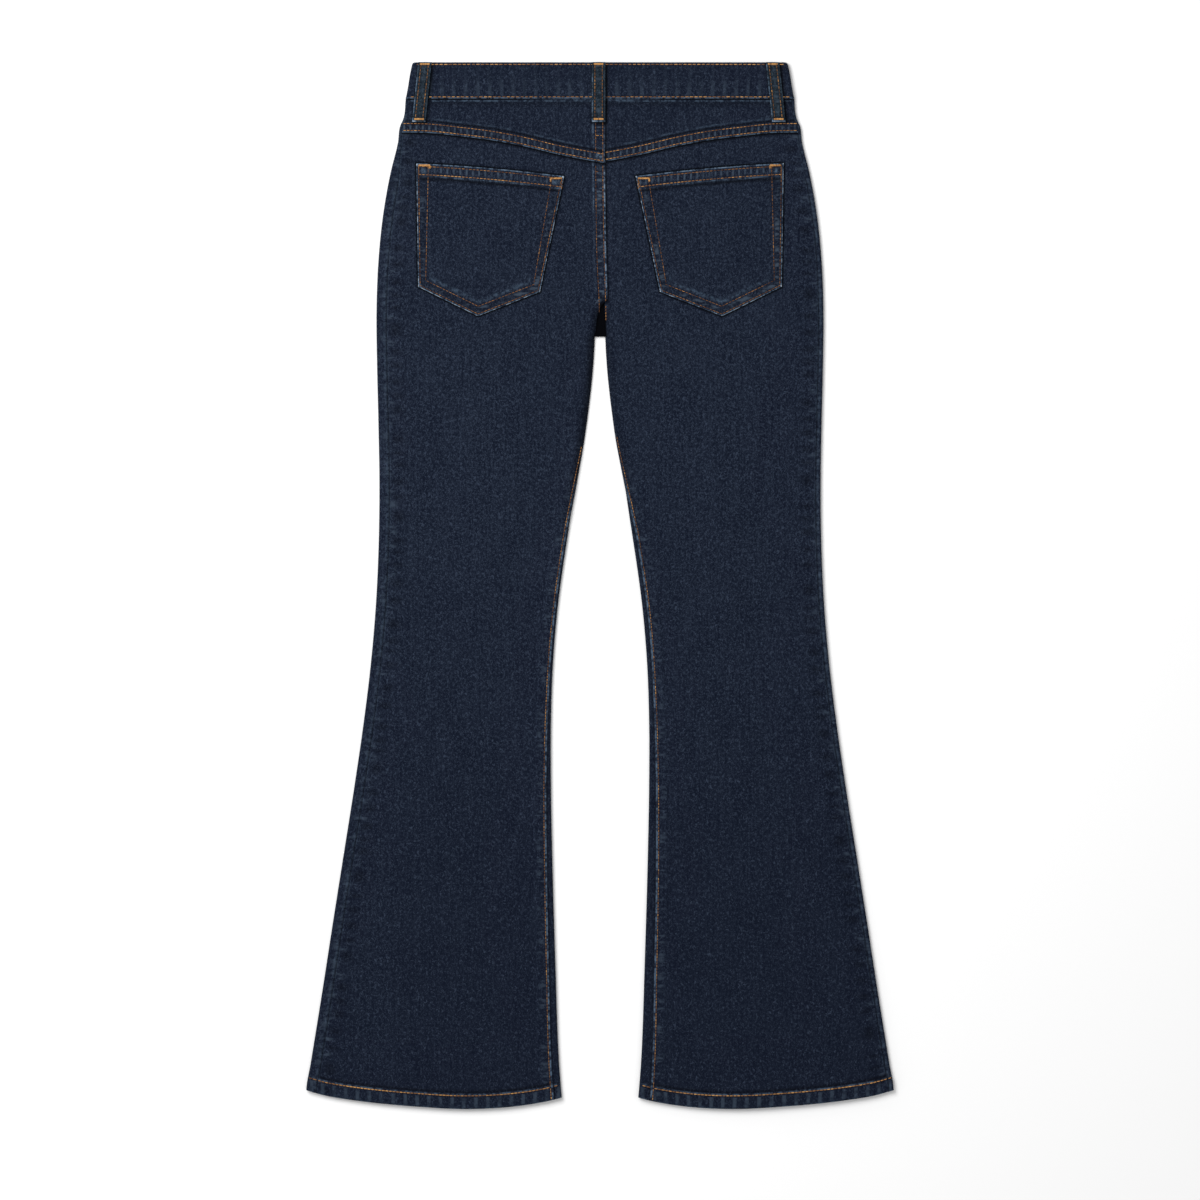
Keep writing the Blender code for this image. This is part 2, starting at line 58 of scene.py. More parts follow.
# %% Driving sizes, in millimetres
MM = 0.001
SIDES = {"left": -1, "right": 1}
WAIST_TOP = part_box("waistband")[1].y
LENGTH = (WAIST_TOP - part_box("leg_back_left")[0].y) / MM
WAISTBAND_HEIGHT = (WAIST_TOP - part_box("waistband")[0].y) / MM
YOKE_SIDE_DROP = 70.0
SEAT_SEAM_END = 245.0
CROTCH_DROP = 274.0
HEM_SIDE_DROP = 1027.0
HEM_HEIGHT = 13.5
HEM_LINE = HEM_SIDE_DROP - HEM_HEIGHT
CLOTH = 1.1
DOUBLE_CLOTH = 2.0
FLOOR_GAP = 0.35

OUTLINE = {
    "drop": (
        36, 58, 62, 80, 110, 150, 200, 250, 300, 360, 420,
        480, 540, 600, 660, 720, 800, 900, 1000, 1027, 1035,
    ),
    "outer": (194.1, 197.3, 199.2, 202.0, 209.3, 216.5, 221.6, 223.4, 222.9, 221.5, 220.5,
              221.2, 223.9, 229.0, 236.3, 245.0, 257.6, 273.4, 289.4, 293.6, 293.6),
    "inner": (5.6, 5.6, 5.6, 5.6, 5.6, 5.6, 5.6, 5.6, 7.6, 14.2, 23.5,
              33.4, 41.8, 47.0, 49.1, 49.1, 47.6, 44.6, 40.4, 38.2, 37.4),
}
WAISTBAND_OUTLINE = {"drop": (0, 1.2, 4, 12, 24, 36.2), "half": (186.5, 187.4, 188.2, 189.9, 191.8, 194.1)}
OUTSEAM_IN = {"left": 10.0, "right": 5.0}
OUTSEAM_AT_YOKE = 3.0
INSEAM_IN = {
    "drop": (274, 380, 430, 470, 550, 630, 730, 820, 910, 1046),
    "left": (0.2, 0.2, 0.9, 2.0, 2.2, 2.9, 5.0, 6.0, 7.0, 8.4),
    "right": (0.2, 0.2, 2.0, 4.2, 5.0, 5.2, 7.4, 9.2, 10.2, 12.4),
}
SEAT_EDGE = {
    "drop": (36, 110, 150, 190, 236, 242, 247, 260, 270, 274),
    "left": (-4.6, -4.8, -5.3, -5.9, -7.2, -1.5, 1.5, 2.8, 3.9, 5.8),
    "right": (4.9, 5.1, 5.6, 6.2, 7.5, 5.6, 5.1, 5.2, 5.5, 5.8),
}
SEAT_ROWS = {
    "drop": (40, 115, 150, 187, 211, 227, 243, 252, 258),
    "left": (-4.4, -4.2, -3.8, -3.3, -2.3, -1.4, -0.7, -0.7, -0.7),
    "right": (2.7, 2.9, 3.3, 4.0, 4.7, 5.3, 5.8, 5.9, 5.9),
}
GAP_CORNER = 1.6
OUTSEAM_LEAVES_FOLD = 74.0
OUTSEAM_FULLY_IN = 125.0
YOKE_EDGE = {"q": (-5, 39, 78, 110, 139, 171, 205), "drop": (101.0, 92.7, 83.5, 77.6, 74.0, 70.6, 70.0)}
HEM_SAG = {
    "q": (37.5, 49, 70, 85, 128, 186, 210, 245, 275, 293.6),
    "sag": (7.2, 10.2, 14.2, 16.2, 18.8, 16.2, 14.2, 10.2, 5.2, 0.0),
}
print("garment length:", round(LENGTH, 1), "mm, waistband:", round(WAISTBAND_HEIGHT, 1), "mm")


# %% [markdown]
# ## Smooth curves
#
# A table gives a size at a few places only. A cubic between each two of them, with matching slopes, joins
# them into one smooth edge, as a tailor's curved ruler does. Two more shapes are enough for the rest: a
# smooth step, which fades a height or a colour in or out, and a bell curve, for whatever runs along a line,
# such as a pucker, a dark groove or a rubbed edge.

# %% Smooth curves through the tables
def between(value, places, sizes):
    """A cubic between each two rows of a table, with the slope of its neighbours at each row."""
    places, sizes = np.asarray(places, float), np.asarray(sizes, float)
    value = np.clip(np.asarray(value, float), places[0], places[-1])
    slopes = np.gradient(sizes, places)
    row = np.clip(np.searchsorted(places, value, side="right") - 1, 0, len(places) - 2)
    span = places[row + 1] - places[row]
    t = (value - places[row]) / span
    start = (1 + 2 * t) * (1 - t) ** 2 * sizes[row] + t * (1 - t) ** 2 * span * slopes[row]
    end = t * t * (3 - 2 * t) * sizes[row + 1] - t * t * (1 - t) * span * slopes[row + 1]
    return start + end


def fade(value, start, end):
    """0 before start, 1 after end, and a smooth step 3t^2 - 2t^3 between."""
    t = np.clip((np.asarray(value, float) - start) / (end - start), 0, 1)
    return t * t * (3 - 2 * t)


def near(distance, reach):
    """A bell curve: 1 at distance 0, and 0.37 at the reach."""
    return np.exp(-((distance / reach) ** 2))


def within(value, start, full, leave, end):
    """1 from full to leave, with a smooth step up before them and a smooth step down after them."""
    return fade(value, start, full) * (1 - fade(value, leave, end))


def strongest(*lines):
    """The strongest of some lines. Each is (distance, place, reach, strength): a bell curve at its place."""
    bells = [strength * near(value - place, reach) for value, place, reach, strength in lines]
    return np.maximum.reduce(bells)


print("a smooth step from 0 to 1:", fade(np.array([0, 0.25, 0.5, 1]), 0, 1).round(2))
print("a bell curve at 0, 1 and 2 reaches:", near(np.array([0, 1, 2]), 1).round(2))

# %% [markdown]
# ## The edges of the pieces
#
# Every edge of a cut piece is a function of its row, so two pieces that meet at a seam share one curve. The
# side folds and the gap between the legs are the garment's outline. The seams lie a little inside it,
# because they rolled onto the back when the jeans were laid flat. The hem hangs lower in its middle.

# %% Edges, seams and hem
def outer_half(drop):
    """Distance from the centre line to the side fold."""
    return between(drop, OUTLINE["drop"], OUTLINE["outer"])


def inner_half(drop):
    """Half the width of the gap between the legs."""
    return between(drop, OUTLINE["drop"], OUTLINE["inner"])


def hem_sag(q, row):
    """How far the hem's curve hangs below its corner, fading in above the hem."""
    return between(q, HEM_SAG["q"], HEM_SAG["sag"]) * fade(row, 850, HEM_LINE - 1)


def yoke_edge(q):
    """Drop of the yoke's lower edge, which is lowest at the centre."""
    return between(q, YOKE_EDGE["q"], YOKE_EDGE["drop"])


def inner_edge(row, side):
    """Where a back piece ends inwards: at the seat seam, and at the inseam below the crotch."""
    seat = np.interp(row, SEAT_EDGE["drop"], SEAT_EDGE[side])
    inseam = inner_half(row) + np.interp(row, INSEAM_IN["drop"], INSEAM_IN[side])
    return np.where(row < CROTCH_DROP, seat, inseam)


def outer_edge(row, side):
    """Where a back piece ends outwards: close to the side fold beside the yoke, and at the outseam below."""
    further_in = (OUTSEAM_IN[side] - OUTSEAM_AT_YOKE) * fade(row, OUTSEAM_LEAVES_FOLD, OUTSEAM_FULLY_IN)
    return outer_half(row) - OUTSEAM_AT_YOKE - further_in


def rolled_under(row):
    """1 where the inseam has rolled under the inner fold, from the crotch to mid-thigh, and 0 below."""
    return within(row, SEAT_SEAM_END - 3, SEAT_SEAM_END + 8, 390, 480)


print("width at the hip:", round(float(2 * outer_half(250))), "mm")
print("width at the hem:", round(float(2 * outer_half(1030))), "mm")

# %% [markdown]
# ## Soft folds
#
# Stiff denim never lies quite flat. Long soft ridges and troughs run over each leg, and finer creases over
# the crotch and the knees. Each is a bell curve across a line, given in a table, and different on each leg.
# A cloth simulation would give these too, but slowly and never twice in the place that the photograph shows.

# %% Soft folds and fine creases
SOFT_FOLDS = {
    "start_x": (-40, -128, -196, -150, -92, 36, 120, 190, 146, 88),
    "start_drop": (300, 290, 420, 600, 740, 310, 300, 380, 660, 700),
    "end_x": (-158, -116, -150, -205, -112, 150, 134, 158, 196, 96),
    "end_drop": (440, 640, 720, 950, 985, 450, 600, 700, 960, 990),
    "width": (20, 30, 26, 32, 24, 18, 32, 28, 34, 22),
    "rise": (0.5, 0.5, -0.5, 0.6, -0.4, 0.5, 0.4, -0.5, 0.6, -0.4),
}
FINE_FOLDS = {
    "start_x": (-16, -20, -60, -212, -60, -205, -74, 14, 22, 64, 214, 58, 206, 84, -178, 182),
    "start_drop": (262, 300, 268, 300, 470, 610, 840, 266, 318, 262, 330, 500, 640, 860, 80, 84),
    "end_x": (-95, -70, -150, -160, -150, -120, -190, 84, 92, 160, 150, 140, 130, 196, -120, 118),
    "end_drop": (300, 372, 282, 330, 500, 640, 900, 310, 386, 276, 356, 532, 676, 915, 92, 94),
    "width": (6, 8, 9, 12, 14, 15, 16, 6, 8, 9, 12, 15, 14, 16, 8, 8),
    "rise": (0.30, -0.24, 0.22, -0.22, 0.24, -0.20, 0.22, 0.28,
             -0.26, 0.2, 0.22, -0.22, 0.24, -0.2, 0.2, -0.2),
}


def folds(x, drop, table):
    """The sum of the folds: each is a bell curve across its line, times half a sine wave along it."""
    total = np.zeros(np.broadcast(x, drop).shape)
    for start_x, start_drop, end_x, end_drop, width, rise in zip(*table.values()):
        run_x, run_drop = end_x - start_x, end_drop - start_drop
        length = np.hypot(run_x, run_drop)
        along = ((x - start_x) * run_x + (drop - start_drop) * run_drop) / length**2
        across = ((x - start_x) * run_drop - (drop - start_drop) * run_x) / length
        total += rise * near(across, width) * np.sin(np.pi * np.clip(along, 0, 1))
    return total


print("lift of the soft folds on the left thigh:", folds(np.array([-100.0]), 370.0, SOFT_FOLDS).round(2))

# %% [markdown]
# ## The lie of the cloth
#
# Jeans on a table are two layers thick. Each side fold is a round bend about 5 mm high, because denim is too
# stiff to fold sharply, and the cloth crowns a little between the folds. The height of the upper face is the
# fold's height and the crown, with the soft folds on top. Along a seam the cloth also ripples unevenly.

# %% Heights of the upper face
FOLD_HEIGHT = 4.6
HEM_FOLD_HEIGHT = 5.6
FOLD_BEND = 0.48
CROWN = 1.5
CROWN_REACH = 40.0


def fold_height(row):
    """Height of the side folds, which the doubled hem lifts."""
    return FOLD_HEIGHT + (HEM_FOLD_HEIGHT - FOLD_HEIGHT) * fade(row, HEM_LINE - 1, HEM_LINE)


def inner_fall(q, row, side):
    """How far the cloth falls at the inner fold: a quarter circle, down to half the fold's height."""
    extreme = np.where(row < CROTCH_DROP, inner_edge(row, side), inner_half(row))
    bend = fold_height(row) * FOLD_BEND
    past = np.clip(1 - (q - extreme) / bend, 0, 1)
    fall = fold_height(row) / 2 * (1 - np.sqrt(1 - past**2))
    return fall * fade(row, SEAT_SEAM_END - 3, SEAT_SEAM_END + 8)


def to_row(q, drop):
    """The row of the panel that a place belongs to, which the hem's curve has let down."""
    return drop - hem_sag(q, drop)


def seam_distances(x, drop, side):
    """Distance from the centre line, the row, and how far a place lies inside the inner and outer seams."""
    q = SIDES[side] * x
    row = to_row(q, drop)
    return q, row, q - inner_edge(row, side), outer_edge(row, side) - q


def top(x, drop):
    """Height of the flat cloth: the side fold's height, a crown that levels out inside it, and the folds."""
    q = np.abs(x)
    row = to_row(q, drop)
    to_gap = np.hypot(np.maximum(q - inner_half(row), 0), np.maximum(CROTCH_DROP - row, 0))
    inside = np.maximum(np.minimum(outer_half(row) - q, to_gap), 0)
    crown = CROWN * (1 - np.exp(-inside / CROWN_REACH))
    calm = fade(inside, 4, 30)
    return fold_height(row) + crown + folds(x, row, SOFT_FOLDS) + calm * folds(x, drop, FINE_FOLDS)


def ripple(along, pitch, seed):
    """Uneven waves along a seam: a sine of the given pitch, whose phase wanders with two slower sines."""
    wander = 1.7 * np.sin(2 * np.pi * along / (pitch * 5.3) + seed)
    wander = wander + 0.9 * np.sin(2 * np.pi * along / (pitch * 2.9) + 2.3 * seed)
    return np.sin(2 * np.pi * along / pitch + wander)


print("height mid-leg:", round(float(top(120.0, 600.0)), 2), "mm")

# %% [markdown]
# ## Grids of points
#
# Every panel is a grid of points: the rows follow one edge of the pattern piece and the columns the other,
# so a narrow line of wear beside a seam is a matter of one more column. From the grid alone come the
# normals, the faces, the flat cloth that the weave is drawn on, and the edges where the piece was cut.

# %% Grids of points
def placed(x, drop, height):
    """Points in metres from places on the garment."""
    x, drop, height = np.broadcast_arrays(x, drop, height)
    return np.stack([x, LENGTH / 2 - drop, height], axis=-1) * MM


def spread(start, end, step):
    """Evenly spaced values from start to end, no further apart than the step."""
    return np.linspace(start, end, int(np.ceil((end - start) / step)) + 1)


def grid_normals(points):
    """The cross product of the two directions of the grid at each point, one unit long."""
    down, across = np.gradient(points, axis=0), np.gradient(points, axis=1)
    normals = np.cross(down, across)
    return normals / np.maximum(np.linalg.norm(normals, axis=-1, keepdims=True), 1e-12)


def flat_place(points):
    """Where each point lies on the flat cloth: the length of its row from the middle column, and its y."""
    across = np.linalg.norm(np.diff(points, axis=1), axis=-1).cumsum(axis=1)
    across = np.pad(across, ((0, 0), (1, 0)))
    middle = points.shape[1] // 2
    direction = np.sign(points[0, middle + 1, 0] - points[0, middle, 0])
    start = direction * points[:, middle, 0] - across[:, middle]
    return np.stack([across + start[:, None], points[..., 1]], axis=-1)


def cell_faces(rows, columns, cells):
    """The four corners of each cell that is kept, in the order that faces along the grid's normal."""
    corner = np.arange(rows * columns).reshape(rows, columns)
    quads = np.stack([corner[:-1, :-1], corner[1:, :-1], corner[1:, 1:], corner[:-1, 1:]], axis=-1)
    return quads[cells] if cells is not None else quads.reshape(-1, 4)


def open_edges(quads):
    """The edges that only one face has, in that face's direction."""
    edges = np.stack([quads, np.roll(quads, -1, axis=1)], axis=-1).reshape(-1, 2)
    _, first, count = np.unique(np.sort(edges, axis=1), axis=0, return_index=True, return_counts=True)
    return edges[first[count == 1]]


print("100 mm right and 500 mm down, in metres:", placed(100.0, 500.0, 5.0).round(4))

# %% [markdown]
# ## From a grid to a wall of cloth
#
# A second grid, moved in along the normals, is the wrong side of the cloth, and the edges that only one cell
# has are closed between the two. Blender's Solidify does the same to a plain sheet, but here the thickness
# changes from point to point. Numbers that the denim reads, such as where it is worn, go into the mesh as
# attributes of the points.

# %% Walls, marks and nodes
MARKS = ("worn", "shade", "ropes", "ticks_across", "ticks_down", "pale", "beside_pocket")
dressed = {"denim": [], "denim_worn": [], "thread": [], "button_metal": []}


def in_scene(name, data):
    """A new object with this data, linked to the scene."""
    made = bpy.data.objects.new(name, data)
    bpy.context.scene.collection.objects.link(made)
    return made


def new_mesh(name, points, faces, flat=None, marks=None):
    """A smooth mesh from arrays, with its flat cloth as the UV map and its marks as attributes."""
    used, faces = np.unique(faces, return_inverse=True)
    faces = faces.reshape(-1, 4)
    mesh = bpy.data.meshes.new(name)
    mesh.from_pydata(points[used].tolist(), [], faces.tolist())
    mesh.shade_smooth()
    if flat is not None:
        layer = mesh.uv_layers.new(name="cloth")
        layer.data.foreach_set("uv", flat[used][faces.ravel()].astype(np.float32).ravel())
    for mark, values in (marks or {}).items():
        attribute = mesh.attributes.new(mark, "FLOAT", "POINT")
        attribute.data.foreach_set("value", values[used].astype(np.float32))
    return in_scene(name, mesh)


def wall(name, outer, thickness, marks, cells=None, breaks=()):
    """A closed wall of cloth: the outer grid, a copy moved in by the thickness, and the open edges joined.

    At a break, a row where the surface is cut or folded sharply, the normals of the two sides stay apart.
    Where the cloth is turned under, both its faces are the right side.
    """
    rows, columns = outer.shape[:2]
    normals = np.concatenate([grid_normals(part) for part in np.split(outer, breaks)])
    inner = outer - normals * np.broadcast_to(thickness, (rows, columns))[..., None] * MM
    outside = cell_faces(rows, columns, cells)
    count = rows * columns
    rim = open_edges(outside)
    joined = np.stack([rim[:, 1], rim[:, 0], rim[:, 0] + count, rim[:, 1] + count], axis=-1)
    faces = np.concatenate([outside, outside[:, ::-1] + count, joined])
    points = np.concatenate([outer.reshape(-1, 3), inner.reshape(-1, 3)])
    flat = np.tile(flat_place(outer).reshape(-1, 2), (2, 1))
    both = {mark: np.broadcast_to(marks.get(mark, 0.0), (rows, columns)).ravel() for mark in MARKS}
    both = {mark: np.concatenate([values, values * (mark == "shade")]) for mark, values in both.items()}
    turned = np.broadcast_to(marks.get("turned", 0.0), (rows, columns)).ravel()
    both["wrong_side"] = np.concatenate([np.zeros(count), 1 - turned])
    return new_mesh(name, points, faces, flat, both)


def finished(piece, node, slot):
    """The piece takes its place in the object, and stands for the plain node."""
    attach(piece, "root")
    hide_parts(node)
    dressed[slot].append(piece)
    print(piece.name, "faces:", len(piece.data.polygons))


def side_piece(name, node, side, outer, thickness, marks, cells=None, breaks=()):
    """One side's wall in its node's place. The left one's columns are turned round, so it faces out too."""
    shape = outer.shape[:2]
    order = slice(None, None, -1 if side == "left" else 1)
    thickness = np.broadcast_to(thickness, shape)[:, order]
    marks = {mark: np.broadcast_to(values, shape)[:, order] for mark, values in marks.items()}
    cells = None if cells is None else cells[:, order]
    piece = wall(f"{name}_{side}", outer[:, order], thickness, marks, cells, breaks)
    finished(piece, f"{node}_{side}", "denim")


print("marks on each point of the cloth:", ", ".join(MARKS))

# %% [markdown]
# ## Where the back pockets lie
#
# A back pocket is sewn onto the back panel, and round it runs a thin dark line, because its edge stands off
# the cloth by a millimetre and a half. So the panel has to know where the pocket lies. Five corners say it,
# and the distance of any place from each of the lines between them gives every shadow, row of stitches and
# rubbed edge of the pocket.

# %% Where the back pockets lie, and the shadow round them
BACK_POCKET = {
    "top_inner": (35.6, 113.8),
    "top_outer": (183.5, 100.8),
    "bottom_outer": (181.6, 224.3),
    "tip": (122.0, 253.7),
    "bottom_inner": (60.0, 229.4),
}
POCKET_TOP_BULGE = 1.5
POCKET_SHADOW = 8.0


def from_line(q, drop, start, end):
    """Distance of a place from the line through two corners, on the pocket's inner side of it."""
    (start_q, start_drop), (end_q, end_drop) = BACK_POCKET[start], BACK_POCKET[end]
    run_q, run_drop = end_q - start_q, end_drop - start_drop
    return ((drop - start_drop) * run_q - (q - start_q) * run_drop) / np.hypot(run_q, run_drop)


def pocket_distances(q, drop):
    """How far a place is from the pocket's top edge, its sides and its two bottom edges."""
    start, end = BACK_POCKET["top_inner"][0], BACK_POCKET["top_outer"][0]
    along_top = np.clip((q - start) / (end - start), 0, 1)
    down = from_line(q, drop, "top_inner", "top_outer") + 4 * POCKET_TOP_BULGE * along_top * (1 - along_top)
    outer_side = from_line(q, drop, "top_outer", "bottom_outer")
    inner_side = from_line(q, drop, "bottom_inner", "top_inner")
    outer_end = from_line(q, drop, "bottom_outer", "tip")
    inner_end = from_line(q, drop, "tip", "bottom_inner")
    return down, np.minimum(outer_side, inner_side), np.minimum(outer_end, inner_end)


def beside_pocket(x, drop):
    """1 at a pocket's edges, and evenly down to 0 outside them, so that it stays true between points."""
    outside = -np.minimum.reduce(pocket_distances(np.abs(x), drop))
    return np.clip(1 - outside / POCKET_SHADOW, 0, 1.5)


print("shadow in a pocket's middle and 20 mm above it:", beside_pocket(110, np.array([170, 87])).round(2))

# %% [markdown]
# ## Back leg panels
#
# The back of each leg is one panel from the yoke to the hem. Along its inner edge the seam allowance is
# turned under and sewn down, which lifts a lap about 10 mm wide: at the seat only the left panel laps over,
# and at the inseam both do. The laps are wavy, because the thread draws the cloth together. The hem is
# turned up twice, so it is thicker, and it twists a little between its stitches, which gives the slanting
# ridges that are called roping. All of this is added to the lie of the cloth as heights.

# %% Height of the back panels
LAP_WIDTH = 10.5
LAP_SLOPE = 2.5
SEAT_LAP_RISE = 0.75
INSEAM_LAP_RISE = 0.5
INSEAM_PITCH = 11.5
OUTSEAM_PITCH = 17.0
HEM_RISE = 0.35
ROPE_PITCH = 11.5
ROPE_SLANT = 0.7
ROPE_MIDDLE = HEM_LINE + 6.0
ROPE_REACH = 7.0


def lap_rise(row, from_inner, side):
    """The lap along a back panel's inner edge: at the seat on the left one, and at each inseam."""
    seat = (SEAT_LAP_RISE if side == "left" else 0.0) * (1 - fade(row, SEAT_SEAM_END - 7, SEAT_SEAM_END + 4))
    rise = seat + INSEAM_LAP_RISE * fade(row, 370, 450)
    return rise * (1 - fade(from_inner, LAP_WIDTH, LAP_WIDTH + LAP_SLOPE))


def outseam_puckers(x, row):
    """Uneven waves down the outseam: 1 at the top of a pucker, and -1 between two."""
    return ripple(row, OUTSEAM_PITCH, 4.1 + np.sign(x))


def on_hem(row):
    """1 on the hem's turn and 0 above it."""
    return fade(row, HEM_LINE - 1.2, HEM_LINE + 0.4)


def hem_height(x, row, roping):
    """The hem's rise above the leg, and its ropes: slanting ripples that are strongest at its middle."""
    slanted = x + ROPE_SLANT * np.sign(x) * (row - HEM_LINE)
    ropes = roping * ripple(slanted, ROPE_PITCH, 0.6 + np.sign(x)) * near(row - ROPE_MIDDLE, ROPE_REACH)
    return HEM_RISE * on_hem(row) + ropes


def back_height(x, drop, side):
    """Height of a back panel: the lie of the cloth, the lap, both seams' puckers, and the roped hem."""
    q, row, from_inner, from_outer = seam_distances(x, drop, side)
    inner_pucker = 0.16 * ripple(row, INSEAM_PITCH, 1.3 + SIDES[side]) * near(from_inner - 5, 8)
    outer_pucker = 0.30 * outseam_puckers(x, row) * near(from_outer - 2, 8)
    round_off = 1.1 * fade(row, HEM_SIDE_DROP - 1.3, HEM_SIDE_DROP) ** 2
    seam_dip = 0.35 * near(from_outer, 2.2) + inner_fall(q, row, side)
    raised = lap_rise(row, from_inner, side) + inner_pucker + outer_pucker + hem_height(x, row, 0.26)
    return top(x, drop) + raised - round_off - seam_dip


print("height on the left seat lap:", round(float(back_height(0.0, 180.0, "left")), 2), "mm")

# %% [markdown]
# ## Wear, painted shade and painted light of the back panels
#
# Jeans fade where they are rubbed. A turned edge, the top of a pucker and the ridge that an allowance makes
# under the cloth go pale. Where shadow falls, the darkening is painted shade: in the groove beside a lap,
# under the yoke's edge, in the strip above a hem, between the outseam's puckers, inside the inner fold, most
# on the left leg, which faces away from the lamp, and near black in the crease of the crotch. The outer side
# of each leg, most on the left, which faces the lamp, is painted lighter. Each of these is a line at its own
# distance from a seam, so they are written as a list of lines, and the strongest one counts at each point.
# The material turns the numbers into colour later.

# %% Wear, painted shade and painted light of the back panels
def hem_ropes(row):
    """1 on the hem's turn, where its ropes are rubbed pale."""
    return within(row, HEM_LINE + 1.6, HEM_LINE + 2.6, HEM_SIDE_DROP - 2, HEM_SIDE_DROP)


def above_knee(row):
    """1 on the seat and the thighs, where the cloth is paler, and down to 0 above the hem."""
    return 1 - fade(row, 420, 930)


def back_marks(x, drop, side):
    """Where a back panel is worn, puckered, or painted with shade and light, from the distance to each of
    its seams.
    """
    q, row, from_inner, from_outer = seam_distances(x, drop, side)
    left = side == "left"
    seat = 1 - fade(row, SEAT_SEAM_END - 8, SEAT_SEAM_END - 1)
    laps = seat * left
    inseam = fade(row, 385, 450)
    puckers = outseam_puckers(x, row)
    yoke_crossing = np.hypot((x + 1.8) / 1.6, (drop - 103.7) / 2.6)
    worn = strongest(
        (from_inner, 0.6, 0.8, 1.3 * laps * (1 - fade(row, 222, 238)) + inseam),
        (from_inner, LAP_WIDTH + 1.3, 0.9, 0.75 * laps * (1 - 0.6 * fade(row, 130, 180)) + 0.1 * inseam),
        (from_outer, 0.8, 1.1, 0.3),
        (row, HEM_LINE - 0.9, 0.8, 0.7),
        (row, HEM_SIDE_DROP - 0.4, 0.7, 0.6),
        (yoke_crossing, 0, 1, 0.9 * laps),
    )
    # Painted shade: the crease of the crotch is painted near black, where shadow falls between the legs.
    at_crease = near(np.maximum(np.abs(x - 2.2) - 1.6, 0), 1.6) * fade(row, 226, 246)
    at_crease = np.maximum(at_crease, near(from_inner, 1.6) * fade(row, 246, 256)) * (row < CROTCH_DROP)
    # Painted shade where shadow falls: beside the left lap on the right panel, under the yoke's edge, above
    # the hem, at the outseam, inside the inner fold (most on the left leg, away from the lamp) and between
    # the outseam's puckers.
    groove_shade = strongest(
        (from_inner, 0.3, 1.5, seat * (not left)),
        (drop - yoke_edge(q), 0.4, 1.9, 1.0),
        (row, HEM_LINE - 3.2, 1.5, 0.6),
        (from_outer, 0, 0.7, 0.6),
        (from_inner, 1.5, 4.5, rolled_under(row) * (0.6 if left else 0.2)),
        (from_outer, 9, 6, 0.42 * fade(-puckers, 0, 1)),
    )
    between_rows = 1.5 * laps * within(from_inner, 2.6, 3.4, 7.4, 8.4)
    beside_inseam = 0.5 * inseam * within(from_inner, 2.6, 4, 7, 12)
    on_puckers = 0.65 * near(from_outer - 3.5, 4) * fade(puckers, -0.2, 0.8)
    thigh = 0.25 * near(q - 118, 66) * near(row - 340, 120)
    # Painted light: the outer side of each leg is paler, most on the left leg, which faces the lamp.
    lit_outer_side = (0.4 if left else 0.12) * near(q - 226, 26)
    return {
        "worn": worn,
        "shade": np.maximum(at_crease, groove_shade),
        "ticks_down": between_rows + beside_inseam + on_puckers,
        "ropes": hem_ropes(row),
        "pale": above_knee(row) + thigh + lit_outer_side,
        "turned": np.maximum(1 - fade(from_inner, 8, 10), fade(row, HEM_LINE - 1, HEM_LINE)),
        "beside_pocket": beside_pocket(x, drop),
    }


on_edge = back_marks(np.array([[4.0]]), np.array([[180.0]]), "left")
print("worn near the left panel's turned edge:", on_edge["worn"].round(2))

# %% [markdown]
# ## The grids of the back panels
#
# A grid has to be fine where something happens: a rubbed edge is half a millimetre wide, while the middle of
# the leg is nearly flat. So the columns stand close together at both seams and are evenly spaced between
# them, and the rows are close at the yoke, the crotch and the hem. Every column follows the panel's edges.

# %% Back panels as grids
NEAR_INNER = np.array([-1.2, 0, 0.5, 1, 1.6, 2.4, 3.4, 4.6, 6, 7.4, 8.4, 9.4,
                       10.4, 11.4, 12.4, 13.6, 15.5, 18])
NEAR_OUTER = np.array([13, 10.5, 8.5, 7, 5.6, 4.4, 3.4, 2.6, 1.9, 1.3, 0.8, 0.4, 0])
BACK_MIDDLE = np.linspace(0, 1, 62)[1:-1]
TUCK = 0.9


def seam_columns(inner, outer):
    """Columns close together at both seams, and evenly spaced between them."""
    inner, outer = inner[:, None], outer[:, None]
    first, last = inner + NEAR_INNER[-1], outer - NEAR_OUTER[0]
    return np.hstack([inner + NEAR_INNER, first + BACK_MIDDLE * (last - first), outer - NEAR_OUTER])


HEM_ROWS = np.array([-5, -3.4, -2.2, -1.4, -0.8, -0.3, 0.2, 0.8, 1.6, 2.6, 4, 5.8, 7.6, 9.4, 11, 12.2])
HEM_ROWS = np.append(HEM_LINE + HEM_ROWS, HEM_SIDE_DROP - np.array([0.8, 0.35, 0]))
CROTCH_ROWS = CROTCH_DROP + np.array([-0.9, -0.05, 0, 0.25, 0.7, 1.2, 1.8, 3])
KNEE_ROWS = spread(279, HEM_ROWS[0] - 2, 3.1)
LEG_ROWS = np.concatenate([spread(236, 271.5, 1.8), CROTCH_ROWS, KNEE_ROWS, HEM_ROWS])


def cloth_thickness(row):
    """One cloth's thickness, and more from the hem's line on, where it is turned up."""
    return CLOTH + (DOUBLE_CLOTH - CLOTH) * fade(row, HEM_LINE - 0.4, HEM_LINE + 0.4)


